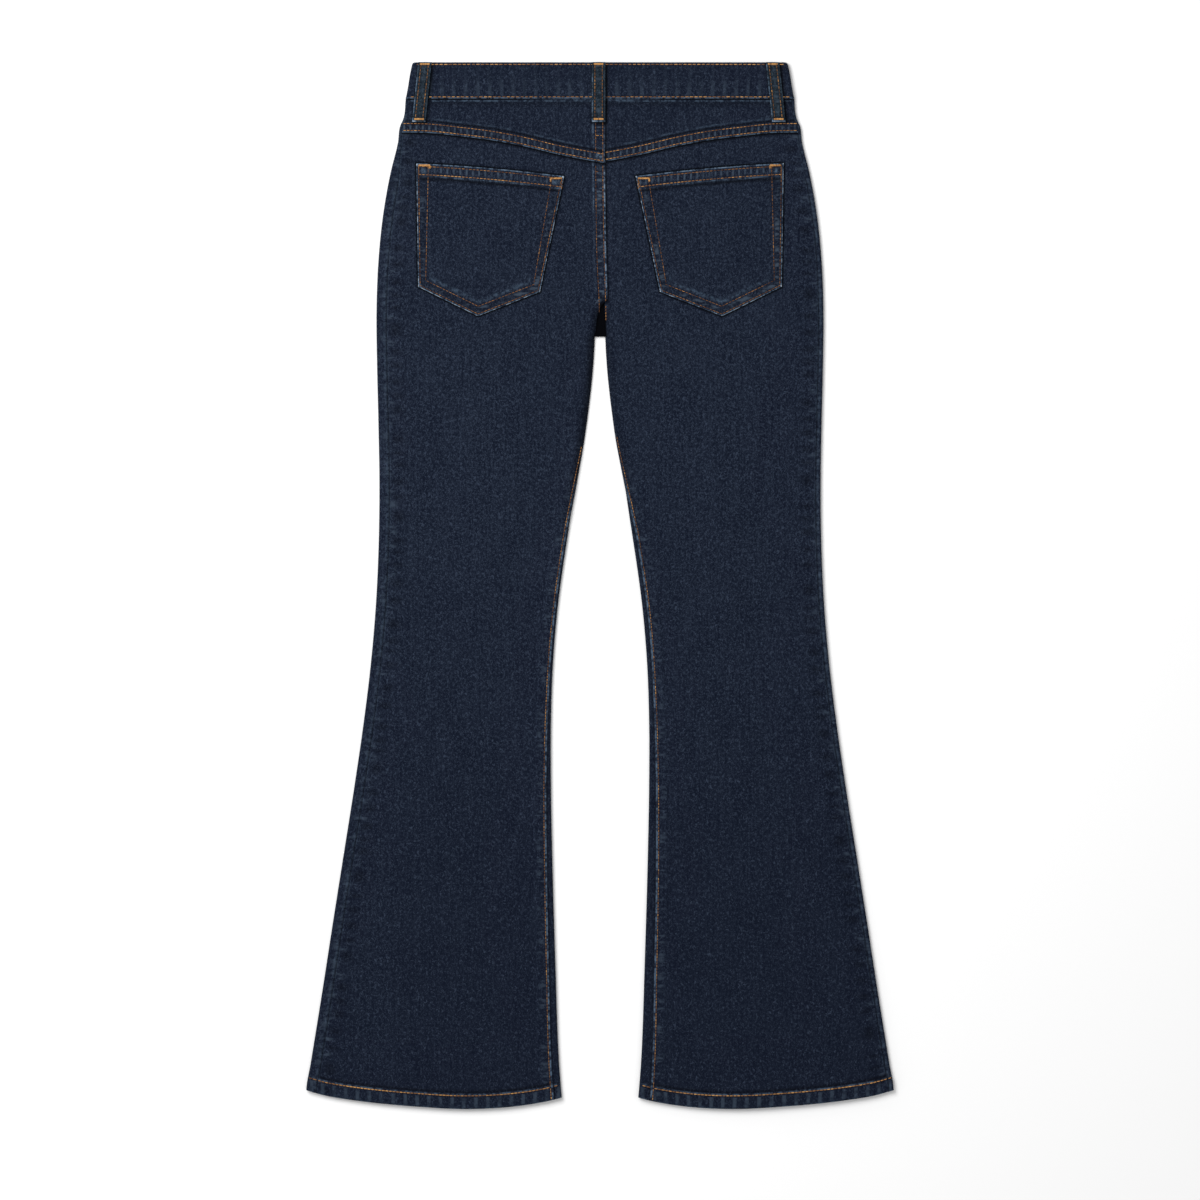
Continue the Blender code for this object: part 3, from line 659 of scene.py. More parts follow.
def back_panel(side):
    """Rows follow the yoke seam at the top and the hem's curve at the bottom."""
    start = YOKE_SIDE_DROP + np.array([-1.2, 0, 0.8, 1.8, 3, 4.6, 6.6, 9])
    row = np.concatenate([start, spread(82, 233, 3.1), LEG_ROWS])
    q = seam_columns(inner_edge(row, side), outer_edge(row, side))
    down = row[:, None]
    follow_yoke = (yoke_edge(q) - YOKE_SIDE_DROP) * (1 - fade(down, YOKE_SIDE_DROP, YOKE_SIDE_DROP + 165))
    drop = down + follow_yoke + hem_sag(q, down)
    x = SIDES[side] * q
    under_yoke = 0.5 * fade(YOKE_SIDE_DROP - down, 0, 1.2)
    tucked = np.where(q < inner_edge(row, side)[:, None], TUCK, 0.0)
    outer = placed(x, drop, back_height(x, drop, side) - under_yoke - tucked)
    side_piece("back_leg_panel", "leg_back", side, outer, cloth_thickness(down), back_marks(x, drop, side))


for side in SIDES:
    back_panel(side)

# %% [markdown]
# ## Where the belt loops lie
#
# The belt loops are sewn on last, but they stand off the cloth and keep the light from what lies beside
# them. So the waistband and the yokes carry their shadow, and their places come first.

# %% Where the belt loops lie, and the shadow beside them
LOOP_LENGTH = 59.7
LOOP_WIDTH = 13.4
BELT_LOOPS = {"back_left": (-174.8, -181.1), "back_centre": (-1.4, -1.4), "back_right": (172.3, 178.7)}


def loop_shadow(x, drop):
    """Dark just below each loop's end and along its right side, away from the light."""
    shadow = np.zeros(np.broadcast(x, drop).shape)
    for top_x, bottom_x in BELT_LOOPS.values():
        from_centre = x - top_x - (bottom_x - top_x) * drop / LOOP_LENGTH
        shadow = np.maximum(shadow, strongest(
            (from_centre, LOOP_WIDTH / 2 + 0.8, 1.9, 0.9 * (1 - fade(drop, LOOP_LENGTH, LOOP_LENGTH + 3))),
            (from_centre, -LOOP_WIDTH / 2 - 0.2, 0.9, 0.55 * (1 - fade(drop, LOOP_LENGTH, LOOP_LENGTH + 2))),
            (drop + 0 * x, LOOP_LENGTH + 1.2, 1.5, 1 - fade(np.abs(from_centre), 6, 8)),
        ))
    return shadow


print("shadow beside the centre loop:", loop_shadow(np.array([0.0, 7.0, 12.0]), np.full(3, 20.0)).round(2))

# %% [markdown]
# ## Yokes
#
# The yoke is the slanted piece below the waistband that gives the seat its roundness. Its lower edge is
# turned under and sewn down with two rows of thread 7 mm apart. Between the rows the cloth stands up in
# little ridges, close together, and the turned edge is rubbed pale.

# %% Yoke pieces
YOKE_LAP_RISE = 0.75
YOKE_ROW_UP = (2.0, 8.9)
YOKE_LAP = 11.2


def yoke_height(x, drop, side):
    """Height of a yoke: the lie of the cloth, the lap along its lower edge, and the seat seam's lap."""
    q, row, from_inner, from_outer = seam_distances(x, drop, side)
    up = yoke_edge(q) - drop
    lap = YOKE_LAP_RISE * (1 - fade(up, YOKE_LAP, YOKE_LAP + 2))
    seat = lap_rise(row, from_inner, side)
    ridges = 0.10 * ripple(x, 6.5, 2.7 + SIDES[side]) * near(up - 6, 4)
    outer_pucker = 0.22 * ripple(drop, 15, 1.9 + SIDES[side]) * near(from_outer - 2, 8)
    round_off = 0.5 * (1 - fade(up, 0, 0.9))
    laps = np.maximum(lap, seat) + 0.3 * np.minimum(lap, seat)
    return top(x, drop) + laps + ridges + outer_pucker - round_off


def yoke_marks(x, drop, side):
    """Where a yoke is worn, puckered or painted with shade: along its turned edge, its lap, the seat seam
    and the waistband.
    """
    q, _, from_inner, _ = seam_distances(x, drop, side)
    up = yoke_edge(q) - drop
    below_band = drop - WAISTBAND_HEIGHT
    laps = 1.0 if side == "left" else 0.0
    above = fade(up, YOKE_LAP, YOKE_LAP + 3)
    between_rows = within(up, 2.8, 3.4, 7.6, 8.2)
    # Painted shade where shadow falls: beyond the lap's edge, under the waistband, beside the seat lap on
    # the right, faintly between the rows; the loops' shadow joins it below.
    groove_shade = strongest(
        (up, YOKE_LAP + 0.4, 0.9, 0.8),
        (below_band, 0.6, 0.8, 1.0),
        (below_band, 4, 4, 0.3 * fade(below_band, 2, 3.4)),
        (from_inner, 0.3, 1.5, 1 - laps),
    )
    return {
        "worn": strongest(
            (up, 0.45, 0.7, 0.95),
            (up, YOKE_LAP + 2.6, 0.8, 0.42),
            (below_band, 2.4, 0.9, 0.65),
            (from_inner, 0.6, 0.8, (0.55 + 0.5 * fade(drop, 84, 95)) * laps),
            (from_inner, LAP_WIDTH + 1.3, 0.9, 0.7 * laps * above),
            (from_inner, 5.0, 3.8, 1.25 * near(up - 5.6, 3.6) * laps),
        ),
        "shade": np.maximum.reduce([groove_shade, 0.1 * between_rows, loop_shadow(x, drop)]),
        "ticks_across": 1.15 * between_rows,
        "ticks_down": 1.5 * within(from_inner, 2.2, 3.2, 7.8, 9) * laps * above,
        "pale": 0.6 + 0.25 * near(drop - 52, 9) * near(q - 120, 60),
    }


YOKE_ROWS_UP = np.array([16, 14, 13, 12.2, 11.4, 10.4, 9.4, 8, 6.5, 5, 3.6, 2.6, 1.8, 1.2, 0.7, 0.3, 0])


def yoke(side):
    """Rows run from under the waistband to the yoke's slanted edge, and follow that edge in the lap."""
    start = WAISTBAND_HEIGHT - 1.5
    below_band = WAISTBAND_HEIGHT + np.array([-1.5, 0, 0.5, 1, 1.5, 2, 2.6, 3.2, 4])
    row = np.concatenate([below_band, spread(42, YOKE_SIDE_DROP - 18, 1.6), YOKE_SIDE_DROP - YOKE_ROWS_UP])
    q = seam_columns(inner_edge(row, side), outer_edge(row, side))
    down = row[:, None]
    share = np.clip((down - start) / (YOKE_SIDE_DROP - YOKE_ROWS_UP[0] - start), 0, 1)
    drop = down + (yoke_edge(q) - YOKE_SIDE_DROP) * share
    x = SIDES[side] * q
    tucked = np.where(q < inner_edge(row, side)[:, None], TUCK, 0.0)
    outer = placed(x, drop, yoke_height(x, drop, side) - tucked)
    side_piece("back_yoke", "yoke", side, outer, CLOTH, yoke_marks(x, drop, side))


for side in SIDES:
    yoke(side)

# %% [markdown]
# ## Front leg panels
#
# Each front panel is the layer below. It lies flat on the table, turns up round both side folds, and ends
# on the upper face at the outseam and the inseam, so a strip of it shows beside each back panel. Across it
# the section is one path: strip, half circle, flat, half circle, strip. Above the crotch the inner half of
# the path is left out, and where the four seams meet a dark crease stays between the strips. The front
# pocket opening cuts its upper corner off, so there each column of the grid starts at the opening's edge.

# %% Section of a front panel
OPENING_CENTRE = 206.0
OPENING_WIDTH = 96.0
OPENING_DEPTH = 84.0
OPENING_END = WAISTBAND_HEIGHT + OPENING_DEPTH
BELOW_OPENING = OPENING_END + 5
CREASE_X = 1.4
CREASE_HEIGHT = 2.9
UNDER_LAP = 1.3
UNDER_SEAM = 1.4
BELOW_SEAM = 1.0
STRIPS_ABOVE = 2.5
FAR_AWAY = 50.0
FLY_RISE = 0.15
HEM_RISE_BELOW = 0.15
FLY_WIDTH = 38.0
FLY_END = 205.0

QUARTERS = np.radians(np.linspace(90, -90, 11)[1:-1])
STRIP = np.array([0, 0.12, 0.3, 0.55, 0.8, 1])
OPENING_COLUMNS = OPENING_CENTRE - OPENING_WIDTH * np.sin(np.radians(np.linspace(0, 90, 22)))
FLAT_COLUMNS = np.concatenate([OPENING_COLUMNS, np.linspace(104, 0, 24)])
TO_CENTRE = np.array([11.0, 6.0, 0.05])


def opening_edge(q):
    """The drop at which the front panel starts: a quarter of an ellipse, and level beyond both its ends."""
    out = np.clip((OPENING_CENTRE - q) / OPENING_WIDTH, 0, 1)
    return WAISTBAND_HEIGHT + OPENING_DEPTH * np.sqrt(1 - out**2)


def strip_height(x, drop):
    """The cloth that comes up round a fold: the lie of the cloth, the seam's puckers, and the hem."""
    q = np.abs(x)
    row = to_row(q, drop)
    pucker = 0.18 * outseam_puckers(x, row) * near(outer_half(row) - q - 7, 5)
    return top(x, drop) + pucker + hem_height(x, row, 0.2)


def flat_height(x, drop):
    """The underside is flat, apart from the fly's double cloth, which stands out a little."""
    fly = (1 - fade(x, FLY_WIDTH, FLY_WIDTH + 2)) * (1 - fade(drop, FLY_END, FLY_END + 3)) * fade(x, -0.5, 0)
    return FLOOR_GAP - FLY_RISE * fly + 0.25 * (1 - fade(np.abs(x + 0.2), 0, 0.4)) * (x < 0)


def round_heights(edge, turn):
    """Heights round a fold: half a circle from the underside, up to the cloth at the strip's edge."""
    return FLOOR_GAP + (edge - FLOOR_GAP) * (1 + np.sin(turn)) / 2


def outer_turn(row, side):
    """Places and heights from the outseam to the underside: the strip, then half a circle round the fold."""
    bend = fold_height(row) * FOLD_BEND
    seam, turn = outer_edge(row, side), outer_half(row) - bend
    strip = seam + STRIP * (turn - seam)
    heights = strip_height(SIDES[side] * strip, row) - 0.3 * near(strip - seam, 2)
    round_q = turn + bend * np.cos(QUARTERS)
    round_z = round_heights(heights[:, -1:], QUARTERS)
    tuck_q, tuck_z = seam - UNDER_SEAM, heights[:, :1] - BELOW_SEAM
    return np.hstack([tuck_q, strip, round_q]), np.hstack([tuck_z, heights, round_z])


def inner_turn(row, side):
    """The same round the inner fold: half a circle from the underside, and a strip up to the inseam.

    Where the inseam has rolled under, fold and strip lie inside the back panel. Above the gap the strips of
    both legs meet at the bottom of the crease. The corners at the top of the gap are quarter circles.
    """
    leg = row >= CROTCH_DROP
    under = rolled_under(row)
    bend = fold_height(row) * FOLD_BEND
    corner = 1 - np.sqrt(1 - (1 - np.clip((row - CROTCH_DROP) / GAP_CORNER, 0, 1)) ** 2)
    fold = inner_half(row) + bend + UNDER_LAP * under * (1 - corner) - GAP_CORNER * corner
    turn = np.where(leg, fold, SIDES[side] * CREASE_X)
    seam = np.maximum(inner_edge(row, side), turn + 1.5 * under)
    strip = turn + STRIP * (seam - turn)
    lie = strip_height(SIDES[side] * strip, row) - 0.35 * near(strip - seam, 2) - UNDER_LAP * under
    heights = np.where(leg, lie, CREASE_HEIGHT)
    round_q = turn - bend * np.cos(QUARTERS[::-1])
    round_z = round_heights(heights[:, :1], QUARTERS[::-1])
    tuck_q, tuck_z = seam + UNDER_SEAM, heights[:, -1:] - BELOW_SEAM
    return np.hstack([round_q, strip, tuck_q]), np.hstack([round_z, heights, tuck_z])


strip_q = outer_turn(np.array([[600.0]]), "left")[0][0, 1:7]
print("mid-leg, the strip beside the left outseam, in mm from the centre:", strip_q.round(1))

# %% [markdown]
# ## Wear and painted shade of the front panels
#
# On the back the front panels show only as strips beside the outseams and inseams, and there the wear
# follows the seams. On the flat face, which lies on the table, it follows the pocket openings, the fly and
# the hem. Painted shade darkens the strips beside the inseams and under the inner folds, where the inseam
# has rolled, the crease of the crotch, which is painted near black, the strip at each outseam, and the
# cloth above the hem on the flat face.

# %% Wear and painted shade of the front panels
def front_marks(x, drop, height, side):
    """Where a front panel is worn, puckered or painted with shade, on its strips above and on its flat face
    below.
    """
    q, row, inside_inner, inside_outer = seam_distances(x, drop, side)
    from_inner, from_outer = -inside_inner, -inside_outer
    above = height > STRIPS_ABOVE
    below = ~above
    # Painted shade: the strip beside each inseam and under the rolled inner fold, and near black in the
    # crease of the crotch.
    beside_inseam = np.maximum(0.1 + 0.85 * near(from_inner, 1.3), 0.8 * rolled_under(row))
    in_crease = 1 - fade(row, CROTCH_DROP, CROTCH_DROP + 2)
    inseam_strip_shade = above * (q < 130) * np.maximum(beside_inseam, in_crease)
    # Painted shade at the outseam's strip and above the hem on the flat face.
    groove_shade = strongest((from_outer, 0, 1.2, 0.4 * above), (row, HEM_LINE - 3.4, 1.7, 0.5 * below))
    in_opening = (q > 60) & below & (drop < BELOW_OPENING)
    to_opening = np.where(in_opening, drop - opening_edge(q), FAR_AWAY)
    thigh = 0.3 * near(q - 110, 60) * near(row - 380, 170)
    return {
        "worn": strongest(
            (row, HEM_LINE - 0.9, 0.9, 0.62),
            (row, HEM_SIDE_DROP - 0.4, 0.8, 0.5),
            (from_outer, 1.8, 1.6, 0.34 * above),
            (to_opening, 0, 1.6, 0.7),
            (x, 0.5, 0.8, 0.5 * below * (x > 0)),
        ),
        "shade": np.maximum(inseam_strip_shade, groove_shade),
        "ticks_down": 0.5 * above * near(from_outer - 2, 4),
        "ropes": hem_ropes(row),
        "pale": above_knee(row) + np.where(above, 0.25, thigh),
    }


at_strip = front_marks(np.array([[-219.5]]), np.array([[600.0]]), np.array([[5.0]]), "left")
print("in the shade of the left outseam:", at_strip["shade"].round(2))

# %% [markdown]
# ## The grids of the front panels
#
# One row of the grid is the whole section, from the outseam round to the inseam, and the rows go down the
# leg. The opening's rows start on its curve, so the curve is exact and not a staircase of cells. Above the
# gap the legs are joined, so the cells of the inner fold are left out there, and the wall is closed round
# that hole like round any other edge.

# %% Front panels as grids
def front_panel(side):
    """The whole section at each row, without the cells of the inner fold and strip above the gap."""
    opening_rows = np.concatenate([[0, 0.008, 0.02, 0.04, 0.07], spread(0.11, 1, 0.055)])
    row = np.concatenate([spread(BELOW_OPENING + 3, 233, 3.3), LEG_ROWS])
    turn_columns = 1 + len(STRIP) + len(QUARTERS)
    columns = 2 * turn_columns + len(FLAT_COLUMNS)
    flat = slice(turn_columns, -turn_columns)
    start = np.full(columns, OPENING_END)
    start[flat] = opening_edge(FLAT_COLUMNS) - 1.2 * (FLAT_COLUMNS < OPENING_COLUMNS[-1])
    opened = start + opening_rows[:, None] * (BELOW_OPENING - start)
    level = np.concatenate([opened, np.broadcast_to(row[:, None], (len(row), columns))])
    row = level[:, :1]
    outer_q, outer_z = outer_turn(row, side)
    inner_q, inner_z = inner_turn(row, side)

    bend = fold_height(row) * FOLD_BEND
    width = outer_half(row) - bend
    last = np.where(row < CROTCH_DROP, inner_half(row) + bend, inner_q[:, :1] + 0.02)
    reference = outer_half(BELOW_OPENING) - FOLD_HEIGHT * FOLD_BEND
    flat_q = last + (width - last) * FLAT_COLUMNS / reference
    flat_q = np.where(level[:, flat] < BELOW_OPENING, FLAT_COLUMNS, flat_q)
    flat_q = np.where((FLAT_COLUMNS == OPENING_COLUMNS[0]) & (row < BELOW_OPENING), OPENING_CENTRE, flat_q)
    flat_q[:, -len(TO_CENTRE):] = np.where(row < CROTCH_DROP, TO_CENTRE, flat_q[:, -len(TO_CENTRE):])
    flat_z = flat_height(SIDES[side] * flat_q, level[:, flat])
    flat_z = flat_z - HEM_RISE_BELOW * on_hem(row)

    crotch_row = int(np.searchsorted(row[:, 0], CROTCH_DROP - 0.01))
    strip_cells = np.arange(columns - len(STRIP) - 1, columns - 1)
    fold_cells = np.arange(columns - turn_columns - 1, columns - len(STRIP) - 1)
    cells = np.ones((len(level) - 1, columns - 1), bool)
    cells[np.ix_(row[:-1, 0] < CROTCH_DROP - 0.2, fold_cells)] = False
    cells[np.ix_(row[:-1, 0] < SEAT_SEAM_END - 8, strip_cells)] = False
    cells[crotch_row - 1, strip_cells] = False

    x = SIDES[side] * np.hstack([outer_q, flat_q, inner_q])
    drop = level + hem_sag(np.abs(x), level)
    height = np.hstack([outer_z, flat_z, inner_z])
    marks = front_marks(x, drop, height, side)
    outer, thickness = placed(x, drop, height), cloth_thickness(level)
    side_piece("front_leg_panel", "leg_front", side, outer, thickness, marks, cells, breaks=[crotch_row])


for side in SIDES:
    front_panel(side)

# %% [markdown]
# ## Front pocket facings
#
# Behind each curved front opening a piece of the same denim shows. It is a plain patch that runs from well
# inside the opening, round the side fold, to the outseam. It lies a cloth's thickness behind the front
# panel, so the curved edge stands out in front of it.

# %% Facing pieces
FACING_START = 100.0
FACING_SINK = 0.95
FACING_THICKNESS = 0.8


def pocket_facing(side):
    """The outer turn at each row, and a flat stretch that sinks inwards to a cloth's thickness behind."""
    row = spread(WAISTBAND_HEIGHT - 1.5, OPENING_END + 0.5, 2.6)[:, None]
    turn_q, turn_z = outer_turn(row, side)
    width = outer_half(row) - FOLD_HEIGHT * FOLD_BEND
    flat_q = FACING_START + (width - FACING_START) * np.linspace(0.97, 0, 34)
    flat_z = FLOOR_GAP + FACING_SINK * fade(width - flat_q, 0, 12)
    q, height = np.hstack([turn_q, flat_q]), np.hstack([turn_z, flat_z])
    above = height > STRIPS_ABOVE
    from_outer = q - outer_edge(row, side)
    to_opening = np.where(above, FAR_AWAY, opening_edge(q) - row)
    marks = {
        # Painted shade behind the opening's curved edge and under the waistband.
        "shade": np.maximum(0.6 * near(to_opening, 3), 0.5 * near(row - WAISTBAND_HEIGHT, 2.6)),
        "worn": 0.22 * above * near(from_outer - 1.6, 1.4),
        "ticks_down": 0.5 * above * near(from_outer - 2, 4),
    }
    outer = placed(SIDES[side] * q, row, height)
    side_piece("pocket_facing", "front_pocket_facing", side, outer, FACING_THICKNESS, marks)


for side in SIDES:
    pocket_facing(side)

# %% [markdown]
# ## Waistband
#
# The waistband is one strip folded along its top, which holds the raw edges of everything below it. Its
# section across the strip is the outside, a round turn over the top, and the inside. That section is
# carried once round the waist: along the front, round the side fold, over the back and round again. The
# two rows of stitches press it down at its edges, and between them it buckles a little.

# %% The strip round the waist
BAND_FOLD_HEIGHT = 6.4
BAND_WALL = 2.2


def band_half(drop):
    """Half the waistband's width, which rounds off at its top corners."""
    return between(drop, WAISTBAND_OUTLINE["drop"], WAISTBAND_OUTLINE["half"])


def band_height(x, drop):
    """Height of the band on the back: a crown, buckles that grow downwards, and a dip along each row."""
    inside = np.maximum(band_half(drop) - np.abs(x), 0)
    crown = 1 - np.exp(-inside / CROWN_REACH)
    buckles = 0.26 * ripple(x, 14, 5.2) * (0.35 + 0.65 * fade(drop, 8, 26)) * fade(inside, 0, 12)
    dips = 0.22 * near(drop - 2.1, 1.1) + 0.28 * near(drop - 34.4, 1.2)
    return BAND_FOLD_HEIGHT + crown + buckles - dips


def band_path(drop):
    """Places and heights from the centre of the front, round the side fold, to the centre of the back."""
    half = band_half(drop)
    bend = BAND_FOLD_HEIGHT * FOLD_BEND
    front = 0.05 + (half - bend - 0.05) * np.linspace(0, 1, 60)
    back = (half - bend) * np.linspace(1, 0, 118)
    back_z = band_height(back, drop)
    round_q = half - bend + bend * np.cos(QUARTERS)
    round_z = round_heights(back_z[:, :1], -QUARTERS)
    return np.hstack([front, round_q, back]), np.hstack([np.full(front.shape, FLOOR_GAP), round_z, back_z])


BAND_OUTSIDE = np.array([36.2, 35.7, 35.2, 34.6, 34, 33.2, 32, 30, 27, 23.5, 20, 16.5, 13, 10, 7.5,
                         5.4, 4, 3, 2.2, 1.5, 0.9])
BAND_TURN = {"drop": (0.4, 0.1, 0.0, 0.1, 0.4, 0.9), "depth": (0.25, 0.65, 1.1, 1.55, 1.95, 2.2)}
BAND_INSIDE = np.array([3, 8, 16, 26, 36.2])


def waistband():
    """The right half's path, and its mirror image after it, moved inwards for the turn and the inside."""
    level = np.concatenate([BAND_OUTSIDE, BAND_TURN["drop"], BAND_INSIDE])[:, None]
    depth = np.concatenate([BAND_OUTSIDE * 0, BAND_TURN["depth"], BAND_INSIDE * 0 + BAND_WALL])[:, None]
    q, height = band_path(level)
    x, height = np.hstack([q, -q[:, -2::-1]]), np.hstack([height, height[:, -2::-1]])
    height[0] -= np.where(height[0] > 3, 0.5, -0.1)
    along_x, along_z = np.gradient(x, axis=1), np.gradient(height, axis=1)
    long = np.maximum(np.hypot(along_x, along_z), 1e-9)
    outer = placed(x - along_z / long * depth, level, height + along_x / long * depth)
    level, depth = np.broadcast_to(level, x.shape), np.broadcast_to(depth, x.shape)
    ring = np.arange(x.size).reshape(x.shape)
    below = np.stack([ring[-1, :-1], ring[0, :-1], ring[0, 1:], ring[-1, 1:]], axis=-1)
    upper, lower = ring[: len(ring) // 2], ring[::-1][: len(ring) // 2]
    ends = [
        np.stack([upper[:-1, 0], lower[:-1, 0], lower[1:, 0], upper[1:, 0]], axis=-1),
        np.stack([upper[:-1, -1], upper[1:, -1], lower[1:, -1], lower[:-1, -1]], axis=-1),
    ]
    faces = np.concatenate([cell_faces(*x.shape, None), below, *ends])
    outward = 1 - fade(depth, 1.2, 2.2)
    ropes = (0.12 + 0.42 * fade(level, 16, 24)) * within(level, 2.8, 4, 33, 34)
    above_floor = height > BAND_FOLD_HEIGHT / 2
    marks = {
        "worn": np.maximum(1.0 * near(level - 35.8, 0.75), 0.5 * near(level - 0.3, 0.7)) * outward,
        "ropes": ropes * outward,
        "pale": (0.35 + 0.45 * near(level - 24, 7)) * outward,
        "shade": loop_shadow(x, level) * above_floor * outward,
        "wrong_side": 1 - outward,
    }
    marks = {name: values.ravel() for name, values in marks.items()}
    piece = new_mesh("waist_strip", outer.reshape(-1, 3), faces, flat_place(outer).reshape(-1, 2), marks)
    finished(piece, "waistband", "denim")


waistband()

# %% [markdown]
# ## Back pockets
#
# A back pocket is a patch with all its edges turned under: the top one folded twice and sewn with two
# rows, the others sewn to the seat with a row at the edge and one further in. It is a grid stretched
# between the pocket's five corners, and its height is the panel's own height, moved out by two cloths.

# %% Pocket patches
POCKET_HEM = 13.0
POCKET_RISE = 1.55
POCKET_THICKNESS = 1.0
POCKET_RIM = np.array([0, 0.25, 0.6, 1.1, 1.7, 2.4, 3.2, 4.4, 6, 7.6, 9.2, 10.6, 12, 13, 14, 16]) / 148


def pocket_height(x, drop, side):
    """Height of a pocket: the panel's, two cloths more, the doubled hem, and the pull of its stitches."""
    q = SIDES[side] * x
    down, sides, ends = pocket_distances(q, drop)
    edge = np.minimum(sides, ends)
    hem = 0.5 * (1 - fade(down, POCKET_HEM - 0.8, POCKET_HEM + 0.8))
    pull = 0.18 * near(edge - 2, 1.2) + 0.2 * near(edge - 10, 1.6)
    pull = pull + 0.15 * near(down - 2.6, 1.1) + 0.18 * near(down - 10, 1.1)
    ripples = 0.14 * ripple(x + drop, 9, 3.3 + SIDES[side]) * near(edge - 5.5, 4)
    sag = 0.35 * near(q - 112, 45) * near(down - 70, 34)
    round_off = 0.55 * near(np.minimum(edge, down), 0.45)
    return top(x, drop) + POCKET_RISE + hem - pull + ripples + sag - round_off


def pocket_marks(x, drop, side):
    """Where a pocket is worn, puckered or painted with shade, from the distances to its edges and corners.
    """
    q = SIDES[side] * x
    down, sides, ends = pocket_distances(q, drop)
    edge = np.minimum(sides, ends)
    corner = near(np.hypot(down, np.maximum(sides, 0)), 3.2) + near(np.hypot(sides, ends), 3.0)
    worn = strongest(
        (edge, 0.3, 0.55, 1.45),
        (down, 0.6, 0.75, 1.15),
        (down, 12.8, 0.8, 0.8),
        (edge, 13.0, 2.0, 0.5 * fade(down, 95, 115)),
        (np.hypot(down - 7.5, sides - 7.5), 0, 2.6, 0.7),
    )
    # Painted shade: a dark line under the hem's step, and a faint one between the rows at the sides.
    groove = 0.12 * within(edge, 2.6, 3.4, 7.0, 9) * fade(down, POCKET_HEM, POCKET_HEM + 3)
    return {
        "worn": np.maximum(worn, 2.2 * corner),
        "shade": np.maximum(0.8 * near(down - 15.2, 1.6) * fade(edge, 1, 4), groove),
        "ticks_across": within(down, 3.4, 4.2, 8.6, 9.4),
        "ticks_down": 1.1 * within(edge, 2.8, 3.6, 6.8, 7.8) * fade(down, 14, 16),
        "pale": 0.9 + 0.25 * near(q - 112, 50) * near(down - 60, 45),
    }


def rimmed(count):
    """Shares from 0 to 1 that lie close together at both ends, and evenly between them."""
    middle = np.linspace(POCKET_RIM[-1], 1 - POCKET_RIM[-1], count)[1:-1]
    return np.concatenate([POCKET_RIM, middle, 1 - POCKET_RIM[::-1]])


def back_pocket(side):
    """Rows run from the top edge to the pointed bottom, and columns from the inner side to the outer one."""
    u = rimmed(50)[None, :, None]
    v = rimmed(48)[:, None, None]
    corner = {name: np.array(place) for name, place in BACK_POCKET.items()}
    upper = corner["top_inner"] * (1 - u) + corner["top_outer"] * u
    upper = upper - np.array([0, POCKET_TOP_BULGE]) * 4 * u * (1 - u)
    inner_end = corner["bottom_inner"] * (1 - 2 * u) + corner["tip"] * 2 * u
    outer_end = corner["tip"] * (2 - 2 * u) + corner["bottom_outer"] * (2 * u - 1)
    q, drop = np.moveaxis(upper * (1 - v) + np.where(u <= 0.5, inner_end, outer_end) * v, -1, 0)
    x = SIDES[side] * q
    outer = placed(x, drop, pocket_height(x, drop, side))
    side_piece("pocket_patch", "back_pocket", side, outer, POCKET_THICKNESS, pocket_marks(x, drop, side))


for side in SIDES:
    back_pocket(side)

# %% [markdown]
# ## Belt loops
#
# A belt loop is a narrow strip folded in three, with a row of stitches along each edge. It is tacked at the
# waistband's top and again on the yoke, and stands a little off the band between. The front loops are the
# same strip on the side that lies on the table, pressed flat.

# %% Loops on the back and on the front
LOOP_ROW = 3.7
FRONT_LOOP_X = 86.0
LOOP_THICKNESS = {"back": 1.1, "front": 0.9}
LOOP_ACROSS = np.array([2, 3.4, 4.3, 4.9, 5.5, 6.1, 6.5, 6.7])
LOOP_ACROSS = np.concatenate([-LOOP_ACROSS[::-1], [0], LOOP_ACROSS])
LOOP_DOWN = np.concatenate([[0, 0.3, 0.8, 1.5], spread(2.4, 54, 1.9), [55, 56, 57, 58, 58.8, 59.4, 59.7]])


def loop_height(x, drop, across):
    """Height of a back loop: off the band by a low arch, down onto the yoke, hollow between its rows."""
    arch = 0.75 * np.sin(np.pi * np.clip(drop / 52, 0, 1))
    on_band = band_height(x, np.minimum(drop, 30.0)) + arch + 0.4
    on_yoke = top(x, np.maximum(drop, WAISTBAND_HEIGHT)) + YOKE_LAP_RISE + 0.55
    share = fade(drop, 36, 52)
    rows = 0.22 * near(np.abs(across) - LOOP_ROW, 0.9)
    tacks = 0.5 * near(drop - 56.8, 1.6) + 0.3 * near(drop - 2.0, 1.4)
    seam_bumps = 0.12 * ripple(drop, 5.5, 1.0) * near(across, 3.0)
    round_off = 0.45 * near(LOOP_WIDTH / 2 - np.abs(across), 0.5)
    return on_band * (1 - share) + on_yoke * share + 1.25 - rows - tacks + seam_bumps - round_off


def front_loop_height(across):
    """Height of a front loop's face, which is pressed flat: a round at each edge, and a dip at each row."""
    edge = LOOP_WIDTH / 2 - np.abs(across)
    return 0.08 + 0.18 * near(edge, 0.5) + 0.12 * near(np.abs(across) - LOOP_ROW, 0.9)


def loop_marks(drop, across):
    """A loop is worn along its edges and at its folded ends, paler along its middle, and painted with shade
    above its lower tack.
    """
    edge = LOOP_WIDTH / 2 - np.abs(across)
    return {
        "worn": strongest(
            (edge, 0.3, 0.8, np.where(across < 0, 1.0, 0.45)),
            (drop, 58.9, 0.9, 1.0 + 0.5 * near(across + 5, 2)),
            (drop, 0.4, 0.7, 0.6),
            (across, 0, 1.8, 0.28),
        ),
        "ticks_down": 0.5 * fade(edge, 3.4, 4.2),
        "pale": 0.8 + 0.3 * near(across, 3.2),
        # Painted shade just above the lower bar tack, where the loop dips.
        "shade": 0.35 * near(drop - 55.2, 1.0),
    }


